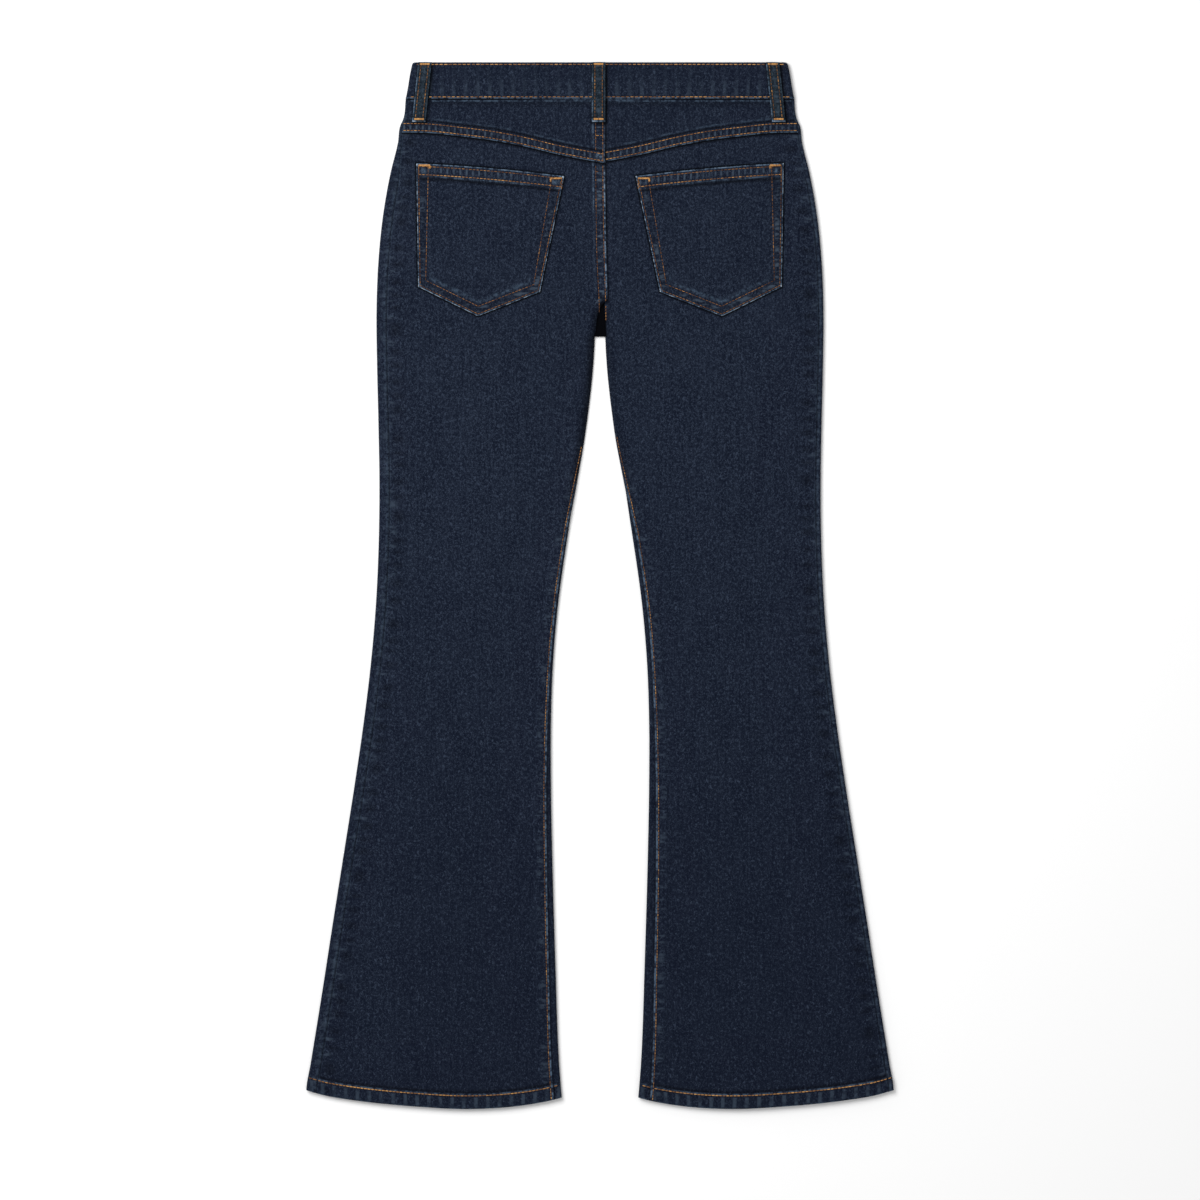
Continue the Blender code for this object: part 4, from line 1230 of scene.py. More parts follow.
def belt_loop(name, top_x, bottom_x):
    """A grid down and across the strip, whose centre line may lean. On the front it faces down."""
    drop, across = np.meshgrid(LOOP_DOWN, LOOP_ACROSS, indexing="ij")
    x = top_x + (bottom_x - top_x) * drop / LOOP_LENGTH + across
    face = name.split("_")[0]
    height = loop_height(x, drop, across) if face == "back" else front_loop_height(across)
    order = slice(None, None, 1 if face == "back" else -1)
    marks = {mark: values[:, order] for mark, values in loop_marks(drop, across).items()}
    piece = wall(f"loop_strip_{name}", placed(x, drop, height)[:, order], LOOP_THICKNESS[face], marks)
    finished(piece, f"belt_loop_{name}", "denim_worn")


for name, places in BELT_LOOPS.items():
    belt_loop(name, *places)
for side in SIDES:
    belt_loop(f"front_{side}", SIDES[side] * FRONT_LOOP_X, SIDES[side] * FRONT_LOOP_X)

# %% [markdown]
# ## Waist button
#
# A jeans button is pressed from sheet metal: a rolled rim, a groove inside it and a low dome. That is a
# profile turned about its centre, so it is one grid, with the profile down the rows and the turn along the
# columns.

# %% Turned button
BUTTON_X = 15.0
BUTTON_DROP = 18.0
BUTTON_RADIUS = (0.001, 2.2, 4.2, 5.4, 5.9, 6.3, 6.9, 7.6, 8.2, 8.5, 8.5, 8.2)
BUTTON_FACE = (0.22, 0.24, 0.32, 0.46, 0.52, 0.42, 0.14, 0.02, 0.12, 0.4, 1.0, 1.3)


def turned_button():
    """Each row is a ring: the radius times the sine and cosine of the turn, at the profile's height."""
    turn = np.linspace(0, 2 * np.pi, 49)[None, :-1]
    radius, face = np.array(BUTTON_RADIUS)[:, None], np.array(BUTTON_FACE)[:, None]
    x, drop = BUTTON_X + radius * np.cos(turn), BUTTON_DROP + radius * np.sin(turn)
    points = placed(x, drop, face).reshape(-1, 3)
    ring = np.arange(points.shape[0]).reshape(len(BUTTON_RADIUS), -1)
    following = np.roll(ring, -1, axis=1)
    faces = np.stack([ring[:-1], ring[1:], following[1:], following[:-1]], axis=-1).reshape(-1, 4)
    finished(new_mesh("button_face", points, faces), "waist_button", "button_metal")


turned_button()

# %% [markdown]
# ## Topstitching
#
# The tobacco-coloured thread is what the eye goes to on jeans. Each stitch that shows is a short thick bead
# of thread, which dips into the cloth at both ends. A bead is five rings of points along a line, thin at the
# ends. All beads of a seam are worked out at once: their centres are evenly spaced along a polyline, and
# the height of the cloth at each ring lifts them onto it. A bar tack is the same bead, laid across its line
# many times, close together.

# %% Beads of thread
RING_ALONG = np.array([-0.5, -0.26, 0.26, 0.5])
RING_WIDTH = np.array([0.45, 1.0, 1.0, 0.45])
RING_LIFT = np.array([-0.30, 0.16, 0.16, -0.30])
RING_TURN = np.radians([0, 72, 144, 216, 288]) + np.radians(18)
chance = np.random.default_rng(7)


def along_line(line, distances):
    """Points on a polyline at these distances from its start."""
    line = np.asarray(line, float)
    steps = np.concatenate([[0], np.linalg.norm(np.diff(line, axis=0), axis=1).cumsum()])
    return np.stack([np.interp(distances, steps, places) for places in line.T], axis=-1)


def line_length(line):
    """The sum of the lengths of a polyline's runs."""
    return np.linalg.norm(np.diff(np.asarray(line, float), axis=0), axis=1).sum()


def beads(line, height, pitch=3.6, share=0.86, radius=0.38, tone=0.5, up=1, across=0.0):
    """The rings of each stitch on a line, as an array (stitch, ring, corner, 3) in metres, and the tones.

    A ring's centre is its place on the line, or beside it when the beads lie across, and the ring's corners
    go round it: the cosine of their turn sideways, and the sine upwards.
    """
    length = line_length(line)
    count = max(int(round(length / pitch)), 1)
    centre = (np.arange(count) + 0.5) * length / count
    middle = along_line(line, centre)
    direction = along_line(line, centre + 0.3) - along_line(line, centre - 0.3)
    direction /= np.maximum(np.linalg.norm(direction, axis=1, keepdims=True), 1e-9)
    sideways = np.stack([-direction[:, 1], direction[:, 0]], axis=-1)
    if across:
        direction, sideways = sideways, -direction
    reach = (across or length / count * share) * (1 + 0.1 * chance.uniform(-1, 1, count))
    ring = middle[:, None] + direction[:, None] * (RING_ALONG[:, None] * reach[:, None, None])
    level = height(ring[..., 0], ring[..., 1]) + up * (RING_LIFT + 0.5 * radius)
    width = radius * RING_WIDTH
    out = (width[:, None] * np.cos(RING_TURN))[None, ..., None]
    corner = ring[:, :, None] + sideways[:, None, None] * out
    corner_level = level[..., None] + up * 0.75 * width[:, None] * np.sin(RING_TURN)
    tones = np.clip(tone + chance.normal(0, 0.16, count), 0, 1)
    return placed(corner[..., 0], corner[..., 1], corner_level), tones


def sewn(name, rows):
    """One mesh for all the beads of some rows: tubes between the rings, closed by a fan at each end."""
    made = [beads(**row) for row in rows]
    points = np.concatenate([rings for rings, _ in made])
    tones = np.concatenate([tone for _, tone in made])
    count, rings, corners = points.shape[:3]
    ring = np.arange(count * rings * corners).reshape(count, rings, corners)
    following = np.roll(ring, -1, axis=2)
    sides = np.stack([ring[:, :-1], following[:, :-1], following[:, 1:], ring[:, 1:]], axis=-1)
    ends = np.concatenate([ring[:, 0, ::-1], ring[:, -1]])
    mesh = bpy.data.meshes.new(name)
    mesh.from_pydata(points.reshape(-1, 3).tolist(), [], sides.reshape(-1, 4).tolist() + ends.tolist())
    mesh.shade_smooth()
    tone = mesh.attributes.new("tone", "FLOAT", "POINT")
    tone.data.foreach_set("value", np.repeat(tones, rings * corners).astype(np.float32))
    made = in_scene(name, mesh)
    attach(made, "root")
    dressed["thread"].append(made)
    print(name, "stitches:", count)


print("three places along a line of 12 mm:", along_line([(0, 0), (12, 0)], [2, 6, 10])[:, 0])

# %% [markdown]
# ## Seams of the seat and the legs
#
# Two rows about 7 mm apart hold the yokes and the seat, and a real machine sews both at once with two
# needles. One row holds each inseam and each hem. A row is a line of places that follows the seam, so the
# curves that shaped the panels say where it runs, and the panel's own height lifts it. Each row has its own
# tone: thread fades where it is rubbed, and the tone is also painted light or shade, darker on rows that lie
# in the cloth's shadow and golden on rows that catch the light.

# %% Rows on the seat, the yokes and the inseams
def on(height, side):
    """The height of one side's cloth, as a function of a place alone."""
    return lambda x, drop: height(x, drop, side)


def yoke_row(side, up):
    """A row of stitches parallel to the yoke's lower edge."""
    q = np.linspace(inner_edge(60.0, side) + 0.6, outer_edge(66.0, side) - 0.6, 60)
    return np.stack([SIDES[side] * q, yoke_edge(q) - up], axis=-1)


def seat_row(which, start, end):
    """A row of stitches beside the seat seam, between two drops."""
    row = np.linspace(start, end, 60)
    return np.stack([np.interp(row, SEAT_ROWS["drop"], SEAT_ROWS[which]), row], axis=-1)


def inseam_row(side, start, end):
    """A row of stitches along the inseam, which comes out from under the fold at its upper end."""
    row = np.linspace(start, end, 160)
    q = inner_edge(row, side) + 0.5 + 1.6 * fade(row, 375, 440)
    return np.stack([SIDES[side] * q, row + hem_sag(q, row)], axis=-1)


# Each row's tone is partly painted light and shade: low where the row lies in the cloth's shadow, high where
# it catches the light.
seat_rows = [
    dict(line=seat_row("right", 103, 239), height=on(back_height, "left"), tone=0.3, pitch=3.3),
    dict(line=seat_row("right", 243, 258), height=on(back_height, "right"), tone=0.35, pitch=3.2),
    dict(line=seat_row("left", 103, 250), height=on(back_height, "left"), tone=0.24, pitch=3.3),
    dict(line=seat_row("right", 60, 99), height=on(yoke_height, "left"), tone=0.35, pitch=3.3),
    dict(line=seat_row("left", 60, 88), height=on(yoke_height, "left"), tone=0.25, pitch=3.3),
]
for start_x, end_x, drop, height, tone, pitch in (
    (-4.8, 3.8, 73.2, yoke_height, 0.6, 4.3),
    (-5.4, -1.4, 109.5, back_height, 0.7, 4.0),
):
    line = [(start_x, drop), (end_x, drop)]
    seat_rows.append(dict(line=line, height=on(height, "left"), tone=tone, pitch=pitch, radius=0.3))
yoke_stitches = [
    dict(line=yoke_row(side, up), height=on(yoke_height, side), tone=tone)
    for side in SIDES
    for up, tone in zip(YOKE_ROW_UP, (0.66, 0.56))
]
INSEAM_STITCHES_START = {"left": 384.0, "right": 374.0}
inseam_stitches = []
for side in SIDES:
    height = on(back_height, side)
    along_leg = inseam_row(side, INSEAM_STITCHES_START[side], HEM_LINE)
    over_hem = inseam_row(side, HEM_LINE + 1, HEM_SIDE_DROP - 1)
    inseam_stitches.append(dict(line=along_leg, height=height, pitch=3.0, radius=0.35, tone=0.42))
    inseam_stitches.append(dict(line=over_hem, height=height, pitch=3.0, tone=0.6))

sewn("seat_seam_stitches", seat_rows)
sewn("yoke_stitches", yoke_stitches)
sewn("inseam_stitches", inseam_stitches)

# %% [markdown]
# ## Rows on the hems
#
# The hem's row has the thickest thread of the garment. It goes on past the back panel, over the
# strips of the front panel and into the side fold, so it sinks there with the fold's round bend.

# %% Rows on the hems
def hem_row(start, end, side):
    """A row of stitches along the hem's top, between two distances from the centre."""
    q = np.linspace(start, end, 90)
    return np.stack([SIDES[side] * q, HEM_LINE + 0.2 + hem_sag(q, HEM_LINE)], axis=-1)


def hem_on_strip(x, drop):
    """Height of the front panel's strip and of its round fold, where the hem's stitches go on over it."""
    q = np.abs(x)
    row = np.full(q.shape, HEM_LINE + 1.0)
    bend = HEM_FOLD_HEIGHT * FOLD_BEND
    past = np.maximum(outer_half(row) - bend, 0)
    turn = np.clip((q - past) / bend, 0, 0.98)
    full = strip_height(x, drop)
    return FLOOR_GAP + (full - FLOOR_GAP) * (1 + np.sqrt(1 - turn**2)) / 2


hem_stitches = []
for side in SIDES:
    line = hem_row(inner_edge(HEM_LINE, side) + 3, outer_edge(HEM_LINE, side), side)
    hem_stitches.append(dict(line=line, height=on(back_height, side), tone=0.72, radius=0.5, share=0.94))
for side in SIDES:
    outer_strip = hem_row(float(outer_edge(HEM_LINE, side)) + 1, float(outer_half(HEM_LINE)) - 0.6, side)
    inner_strip = hem_row(float(inner_half(HEM_LINE)) + 2.7, float(inner_edge(HEM_LINE, side)) - 1, side)
    hem_stitches.append(dict(line=outer_strip, height=hem_on_strip, tone=0.65, radius=0.5))
    hem_stitches.append(dict(line=inner_strip, height=strip_height, tone=0.65, radius=0.5))

sewn("hem_stitches", hem_stitches)

# %% [markdown]
# ## Rows on the pockets
#
# The pockets have two rows all round, which come closer together towards the bottom, and two rows along
# the hem. Where a pocket is pulled on, at its top corners, a bar tack holds it: a short bar with two legs.

# %% Rows on the pockets
TACK = dict(pitch=0.55, across=2.0, radius=0.34, tone=0.85)


def inside_corner(before, corner, after, first_in, second_in):
    """Where two lines cross that lie inside the pocket's edges before and after a corner."""
    places = np.array([BACK_POCKET[name] for name in (before, corner, after)])
    runs = np.diff(places, axis=0)
    runs /= np.linalg.norm(runs, axis=1, keepdims=True)
    normals = np.stack([-runs[:, 1], runs[:, 0]], axis=-1)
    return np.linalg.solve(normals, normals @ places[1] + (first_in, second_in))


def pocket_row(side, at_top, lit_outer_side, at_end):
    """A row round the sides and the bottom: so far in at the top corners, at the sides and at the ends."""
    line = np.array([
        inside_corner("top_inner", "top_outer", "bottom_outer", 1.5, at_top),
        inside_corner("top_outer", "bottom_outer", "tip", lit_outer_side, at_end),
        inside_corner("bottom_outer", "tip", "bottom_inner", at_end, at_end),
        inside_corner("tip", "bottom_inner", "top_inner", at_end, lit_outer_side),
        inside_corner("bottom_inner", "top_inner", "top_outer", at_top, 1.5),
    ])
    line[:, 0] *= SIDES[side]
    return line


def pocket_hem_row(side, down):
    """A row along the pocket's top edge, which bulges a little upwards in the middle."""
    u = np.linspace(0.012, 0.988, 30)[:, None]
    line = np.array(BACK_POCKET["top_inner"]) * (1 - u) + np.array(BACK_POCKET["top_outer"]) * u
    line = line + np.hstack([u * 0, down - 4 * POCKET_TOP_BULGE * u * (1 - u)])
    line[:, 0] *= SIDES[side]
    return line


pocket_stitches = []
pocket_tacks = []
for side in SIDES:
    height = on(pocket_height, side)
    lines = [
        (pocket_row(side, 2.2, 2.0, 2.0), 0.28, 0.34),
        (pocket_row(side, 12.0, 7.6, 9.0), 0.32, 0.32),
        (pocket_hem_row(side, 3.0), 0.30, 0.38),
        (pocket_hem_row(side, 11.2), 0.60, 0.40),
    ]
    for line, tone, radius in lines:
        pocket_stitches.append(dict(line=line, height=height, tone=tone, radius=radius))
    for corner, inwards in (("top_inner", 1), ("top_outer", -1)):
        q, drop = BACK_POCKET[corner]
        edge, far = q + 2.4 * inwards, q + 13.6 * inwards
        bar = [(SIDES[side] * edge, drop + 2.2), (SIDES[side] * far, drop + 2.2)]
        turn = [(SIDES[side] * far, drop + 2.4), (SIDES[side] * far, drop + 5.4)]
        pocket_tacks += [dict(line=line, height=height, **TACK) for line in (bar, turn)]
        leg = [(SIDES[side] * edge, drop + 3.2), (SIDES[side] * (edge + 0.4 * inwards), drop + 13.5)]
        pocket_stitches.append(dict(line=leg, height=height, pitch=3.2, tone=0.5))

sewn("pocket_stitches", pocket_stitches)
sewn("pocket_bar_tacks", pocket_tacks)

# %% [markdown]
# ## Rows on the waistband and the loops
#
# The waistband has a row close to each edge on both faces, and each belt loop a row along each side and a
# bar tack at each end.

# %% Rows on the waistband and the loops
def on_loop(top_x, bottom_x):
    """Height of a back loop, whose centre line slants a little."""
    return lambda x, drop: loop_height(x, drop, x - top_x - (bottom_x - top_x) * drop / LOOP_LENGTH)


def flat_under(x, drop):
    """The front lies on the table, so its threads are sunk level into its face, and none goes below it."""
    return np.full(np.broadcast(x, drop).shape, FLOOR_GAP + 0.22)


UNDER = dict(height=flat_under, up=-1, radius=0.3)
LOOP_TACKS = (1.9, 56.8)
band_stitches = []
for drop, tone in ((2.2, 0.6), (34.6, 0.6)):
    reach = float(band_half(drop)) - 4
    line = [(-reach, drop), (reach, drop)]
    band_stitches.append(dict(line=line, height=band_height, tone=tone, pitch=4.6, share=0.84, radius=0.43))
    band_stitches.append(dict(line=line, tone=tone, pitch=4.6, share=0.8, **UNDER))
loop_stitches = []
loop_tacks = []
for top_x, bottom_x in BELT_LOOPS.values():
    lean = (bottom_x - top_x) / LOOP_LENGTH
    for across in (-LOOP_ROW, LOOP_ROW):
        line = [(top_x + across + lean * 3, 3), (top_x + across + lean * 55, 55)]
        loop_stitches.append(dict(line=line, height=on_loop(top_x, bottom_x), tone=0.35, pitch=3.4))
    for drop in LOOP_TACKS:
        centre = top_x + lean * drop
        line = [(centre - 4.8, drop), (centre + 4.8, drop)]
        loop_tacks.append(dict(line=line, height=on_loop(top_x, bottom_x), **{**TACK, "across": 2.1}))
for x in (-FRONT_LOOP_X, FRONT_LOOP_X):
    for across in (-LOOP_ROW, LOOP_ROW):
        loop_stitches.append(dict(line=[(x + across, 4), (x + across, 55)], tone=0.35, pitch=3.4, **UNDER))
    for drop in LOOP_TACKS:
        line = [(x - 4.8, drop), (x + 4.8, drop)]
        loop_tacks.append(dict(line=line, pitch=0.55, across=2.1, tone=0.9, **UNDER))

sewn("waistband_stitches", band_stitches)
sewn("loop_stitches", loop_stitches)
sewn("loop_bar_tacks", loop_tacks)

# %% [markdown]
# ## Rows on the hidden front
#
# The front lies on the table and the photograph does not show it, so it is sewn in the plainest usual way:
# two rows along each pocket opening, two that bend like a J beside the zip, two along the rise, one round
# each hem, and a buttonhole behind the button.

# %% Rows on the hidden front
def opening_row(side, down):
    """A row at a distance from the opening's edge: a quarter of a larger ellipse about the same centre."""
    turn = np.radians(np.linspace(2, 88, 50))
    q = OPENING_CENTRE - (OPENING_WIDTH + down) * np.sin(turn)
    return np.stack([SIDES[side] * q, WAISTBAND_HEIGHT + (OPENING_DEPTH + down) * np.cos(turn)], axis=-1)


def fly_row(inwards):
    """Straight down beside the zip, and then a quarter of an ellipse in to the centre front."""
    turn = np.radians(np.linspace(0, 90, 24))
    width, depth = FLY_WIDTH - inwards, FLY_END - 8 - inwards
    bend = np.stack([0.5 + (width - 0.5) * np.cos(turn), depth - 45 + 45 * np.sin(turn)], axis=-1)
    return np.concatenate([[[width, WAISTBAND_HEIGHT + 1]], bend])


front_stitches = []
for side in SIDES:
    for down, tone in ((2.2, 0.45), (8.6, 0.4)):
        front_stitches.append(dict(line=opening_row(side, down), tone=tone, **UNDER))
    inner, outer = float(inner_half(HEM_LINE)) + 3, float(outer_half(HEM_LINE)) - 3
    front_stitches.append(dict(line=hem_row(inner, outer, side), tone=0.45, **UNDER))
for inwards, tone in ((2.5, 0.45), (8.7, 0.4)):
    front_stitches.append(dict(line=fly_row(inwards), tone=tone, **UNDER))
    front_stitches.append(dict(line=[(inwards, FLY_END), (inwards, CROTCH_DROP - 3)], tone=tone, **UNDER))
for drop in (BUTTON_DROP - 1.4, BUTTON_DROP + 1.4):
    front_stitches.append(dict(line=[(2.5, drop), (6.5, drop)], pitch=0.55, across=1.4, tone=0.3, **UNDER))
sewn("front_stitches", front_stitches)

# %% [markdown]
# ## Denim
#
# Denim is a twill: dark blue warp threads run along the leg and pass over undyed weft threads, so fine
# slanting ribs show, with pale specks where the weft comes through and long streaks where a warp thread is
# thicker. The dye sits on the outside of the threads, so it rubs off wherever the cloth stands out: along
# turned edges and on each pucker of a seam. Two node groups hold this. One weaves the cloth from its flat
# UV map. The other turns the marks on the mesh into worn places, with noise that keeps them uneven.

# %% Small helpers for nodes
def fill(tree, made, inputs):
    """Gives a node's inputs their values or their links, by name or by number."""
    for name, value in inputs.items():
        if isinstance(value, bpy.types.NodeSocket):
            tree.links.new(value, made.inputs[name])
        else:
            made.inputs[name].default_value = value


def node(tree, kind, inputs=None, **settings):
    """A node with its settings and its inputs."""
    made = tree.nodes.new(kind)
    for name, value in settings.items():
        setattr(made, name, value)
    fill(tree, made, inputs or {})
    return made


def maths(tree, operation, first, second=0.0, clamp=False):
    """The result of one sum, such as ADD or MULTIPLY, on two values."""
    made = node(tree, "ShaderNodeMath", {0: first, 1: second}, operation=operation, use_clamp=clamp)
    return made.outputs[0]


def added(tree, first, *others):
    """The sum of some values. Each may be a pair of a value and its share, which is multiplied in first."""
    parts = (first, *others)
    total, *shares = [maths(tree, "MULTIPLY", *part) if isinstance(part, tuple) else part for part in parts]
    for share in shares:
        total = maths(tree, "ADD", total, share)
    return total


def mixed(tree, share, first, second):
    """A colour between two others, which are the Mix node's inputs 6 and 7."""
    return node(tree, "ShaderNodeMix", {"Factor": share, 6: first, 7: second}, data_type="RGBA").outputs[2]


def bumped(tree, height, strength, distance, **normal):
    """The normals that a height gives, on top of other normals where some are given."""
    inputs = {"Strength": strength, "Distance": distance, "Height": height, **normal}
    return node(tree, "ShaderNodeBump", inputs).outputs["Normal"]


def remapped(tree, value, low, high, to_low=0.0, to_high=1.0):
    """A value moved from one range to another, and held within it."""
    inputs = {"Value": value, "From Min": low, "From Max": high, "To Min": to_low, "To Max": to_high}
    return node(tree, "ShaderNodeMapRange", inputs, interpolation_type="SMOOTHSTEP").outputs["Result"]


def noise(tree, coordinates, stretch, detail=2.0, distortion=0.0, roughness=0.5):
    """Noise whose lumps are 1/stretch metres in size along each axis."""
    place = node(tree, "ShaderNodeMapping", {"Vector": coordinates, "Scale": stretch}).outputs["Vector"]
    inputs = {"Vector": place, "Scale": 1.0, "Detail": detail,
              "Distortion": distortion, "Roughness": roughness}
    return node(tree, "ShaderNodeTexNoise", inputs).outputs["Fac"]


def new_group(name, inputs, outputs):
    """A shader node group with named sockets, given as (name, kind, default)."""
    group = bpy.data.node_groups.new(name, "ShaderNodeTree")
    for label, kind, default in inputs:
        socket = group.interface.new_socket(label, in_out="INPUT", socket_type=kind)
        if default is not None:
            socket.default_value = default
    for label, kind in outputs:
        group.interface.new_socket(label, in_out="OUTPUT", socket_type=kind)
    return group, group.nodes.new("NodeGroupInput"), group.nodes.new("NodeGroupOutput")


print("node groups before the weave:", len(bpy.data.node_groups))

# %% [markdown]
# ## The woven cloth
#
# Seen close by, this denim is dark blue with thousands of pale curly flecks, which are bits of undyed weft
# between the ribs of the twill. A fleck is a thin line where a noise crosses its middle, broken up by a
# second noise. Finer flecks, dots, streaks along the leg and broad uneven dyeing are added to it. All of it
# is read from the UV map, where the cloth lies flat, so the weave bends round a fold with the cloth.

# %% The woven cloth
def curls(tree, coordinates, stretch, width, breaks, low, high):
    """Curly flecks: thin lines where a noise crosses its middle, kept only where a second noise is high."""
    away = maths(tree, "ABSOLUTE", maths(tree, "SUBTRACT", noise(tree, coordinates, stretch, 1.0, 0.8), 0.5))
    line = remapped(tree, away, 0.0, width, 1.0, 0.0)
    return maths(tree, "MULTIPLY", line, remapped(tree, noise(tree, coordinates, breaks, 1.5), low, high))


def twill_group():
    """Curly pale flecks of weft on dark ribs, dots, streaks along the leg, and broad uneven dyeing."""
    group, given, result = new_group(
        "twill weave",
        [("Cloth", "NodeSocketVector", None)],
        [("Tone", "NodeSocketFloat"), ("Height", "NodeSocketFloat")],
    )
    cloth = given.outputs["Cloth"]
    slant = {"Vector": cloth, "Rotation": (0, 0, np.radians(-27))}
    slanted = node(group, "ShaderNodeMapping", slant).outputs["Vector"]
    ribs = node(group, "ShaderNodeTexWave", {"Vector": slanted, "Scale": 280.0, "Distortion": 0.6,
                                            "Detail": 1.0}, bands_direction="X").outputs["Fac"]
    flecks = curls(group, cloth, (320, 240, 250), 0.042, (350, 270, 120), 0.44, 0.56)
    small_flecks = curls(group, cloth, (600, 450, 400), 0.065, (420, 320, 190), 0.42, 0.58)
    dots = remapped(group, noise(group, cloth, (620, 520, 500), 1.0), 0.63, 0.74)
    fine = noise(group, cloth, (900, 700, 600), 2.0, 0.4, 0.6)
    streaks = noise(group, cloth, (480, 16, 16), 2.0, 0.0, 0.6)
    dyeing = noise(group, cloth, (32, 20, 20), 3.0, 0.3, 0.6)
    tone = added(
        group, (flecks, 1.65), (small_flecks, 0.95), (dots, 0.9),
        remapped(group, streaks, 0.3, 0.7, -0.06, 0.10),
        remapped(group, dyeing, 0.3, 0.7, -0.02, 0.06),
        remapped(group, fine, 0.3, 0.7, -0.05, 0.12),
        (ribs, 0.05),
    )
    height = added(group, (ribs, 0.5), (fine, 0.5), (streaks, 0.4), (flecks, 0.8))
    fill(group, result, {"Tone": tone, "Height": height})
    return group


twill = twill_group()
print("nodes that weave the cloth:", len(twill.nodes))

# %% [markdown]
# ## Worn edges and puckers
#
# Wear is never an even line. The marks on the mesh say where cloth is rubbed, and noise breaks them into
# longer and shorter dashes. The hem's ropes and the ridges between two rows of thread are pale stripes at
# the pitch of the stitches, which wander a little. They read the object's own coordinates, because they
# follow the seams and not the threads of the cloth.

# %% Worn edges and puckers
def stripes(tree, coordinates, pitch, low):
    """Thin pale stripes across X at an even pitch in metres, which wander a little and vary in strength."""
    inputs = {"Vector": coordinates, "Scale": 2 * np.pi / 20 / pitch, "Distortion": 2.6, "Detail": 1.0,
              "Detail Scale": 0.35}
    wave = node(tree, "ShaderNodeTexWave", inputs, bands_direction="X").outputs["Fac"]
    uneven = remapped(tree, noise(tree, coordinates, (90, 130, 60), 1.5), 0.35, 0.6, 0.35, 1.0)
    return maths(tree, "MULTIPLY", remapped(tree, wave, low, 0.98), uneven)


def wear_group():
    """Masks from the marks: worn edges in broken lines, and the pale tops of ropes and of ticks at seams."""
    group, given, result = new_group(
        "seam wear",
        [("Worn", "NodeSocketFloat", 0.0), ("Ropes", "NodeSocketFloat", 0.0),
         ("Ticks across", "NodeSocketFloat", 0.0), ("Ticks down", "NodeSocketFloat", 0.0)],
        [("Edge", "NodeSocketFloat"), ("Ticks", "NodeSocketFloat")],
    )
    place = node(group, "ShaderNodeTexCoord").outputs["Object"]
    broken = remapped(group, noise(group, place, (240, 240, 60), 2.0, 0.0, 0.7), 0.38, 0.62, 0.15, 1.0)
    edge = maths(group, "MULTIPLY", given.outputs["Worn"], broken)
    ropes = maths(group, "MULTIPLY", stripes(group, place, 0.0118, 0.6), given.outputs["Ropes"])
    ropes = maths(group, "MULTIPLY", ropes, 0.62)
    over = maths(group, "MULTIPLY", stripes(group, place, 0.0062, 0.6), given.outputs["Ticks across"])
    down = remapped(group, noise(group, place, (80, 280, 60), 1.5, 0.0, 0.5), 0.5, 0.68)
    down = maths(group, "MULTIPLY", down, given.outputs["Ticks down"])
    ticks = maths(group, "MAXIMUM", maths(group, "MAXIMUM", ropes, over), down)
    fill(group, result, {"Edge": edge, "Ticks": ticks})
    return group


wear = wear_group()
print("nodes that wear the seams:", len(wear.nodes))

# %% [markdown]
# ## Denim materials
#
# The colour is built up in the order in which real jeans get theirs, with painted shade laid over it. The
# dyed ground and the pale flecks come first. Then the indigo rubs off: a little on the puckers, more along
# the edges, and down to the bare cotton where the wear is strongest. Then comes the painted shade, nearly
# black, where shadow falls beside laps and seams, round the pockets and in the crease of the crotch, and
# last the wrong side, which has more weft and less indigo. Denim is nearly dull, so its highlights are kept
# very low.
# The belt loops are cut from a slightly greyer strip.

# %% Denim materials
INDIGO = (0.0038, 0.0062, 0.0148, 1)
INDIGO_PALE = (0.0265, 0.0370, 0.0610, 1)
INDIGO_RUBBED = (0.0760, 0.1180, 0.1750, 1)
BARE_COTTON = (0.4000, 0.4700, 0.5400, 1)
TICK_BLUE = (0.0480, 0.0680, 0.0980, 1)
IN_SHADE = (0.0006, 0.0008, 0.0018, 1)
WRONG_SIDE = (0.0900, 0.1100, 0.1400, 1)
LOOP_INDIGO = (0.0045, 0.0078, 0.0130, 1)
LOOP_PALE = (0.0280, 0.0430, 0.0570, 1)


def new_material(name, roughness=0.5, specular=0.5):
    """A material, its nodes and its Principled shader, with two values on the shader's own sockets."""
    material = bpy.data.materials.new(name)
    material.use_nodes = True
    shader = material.node_tree.nodes["Principled BSDF"]
    fill(material.node_tree, shader, {"Roughness": roughness, "Specular IOR Level": specular})
    return material, material.node_tree, shader


def attribute(tree, name):
    """A number that was written on the mesh's points."""
    return node(tree, "ShaderNodeAttribute", attribute_name=name).outputs["Fac"]


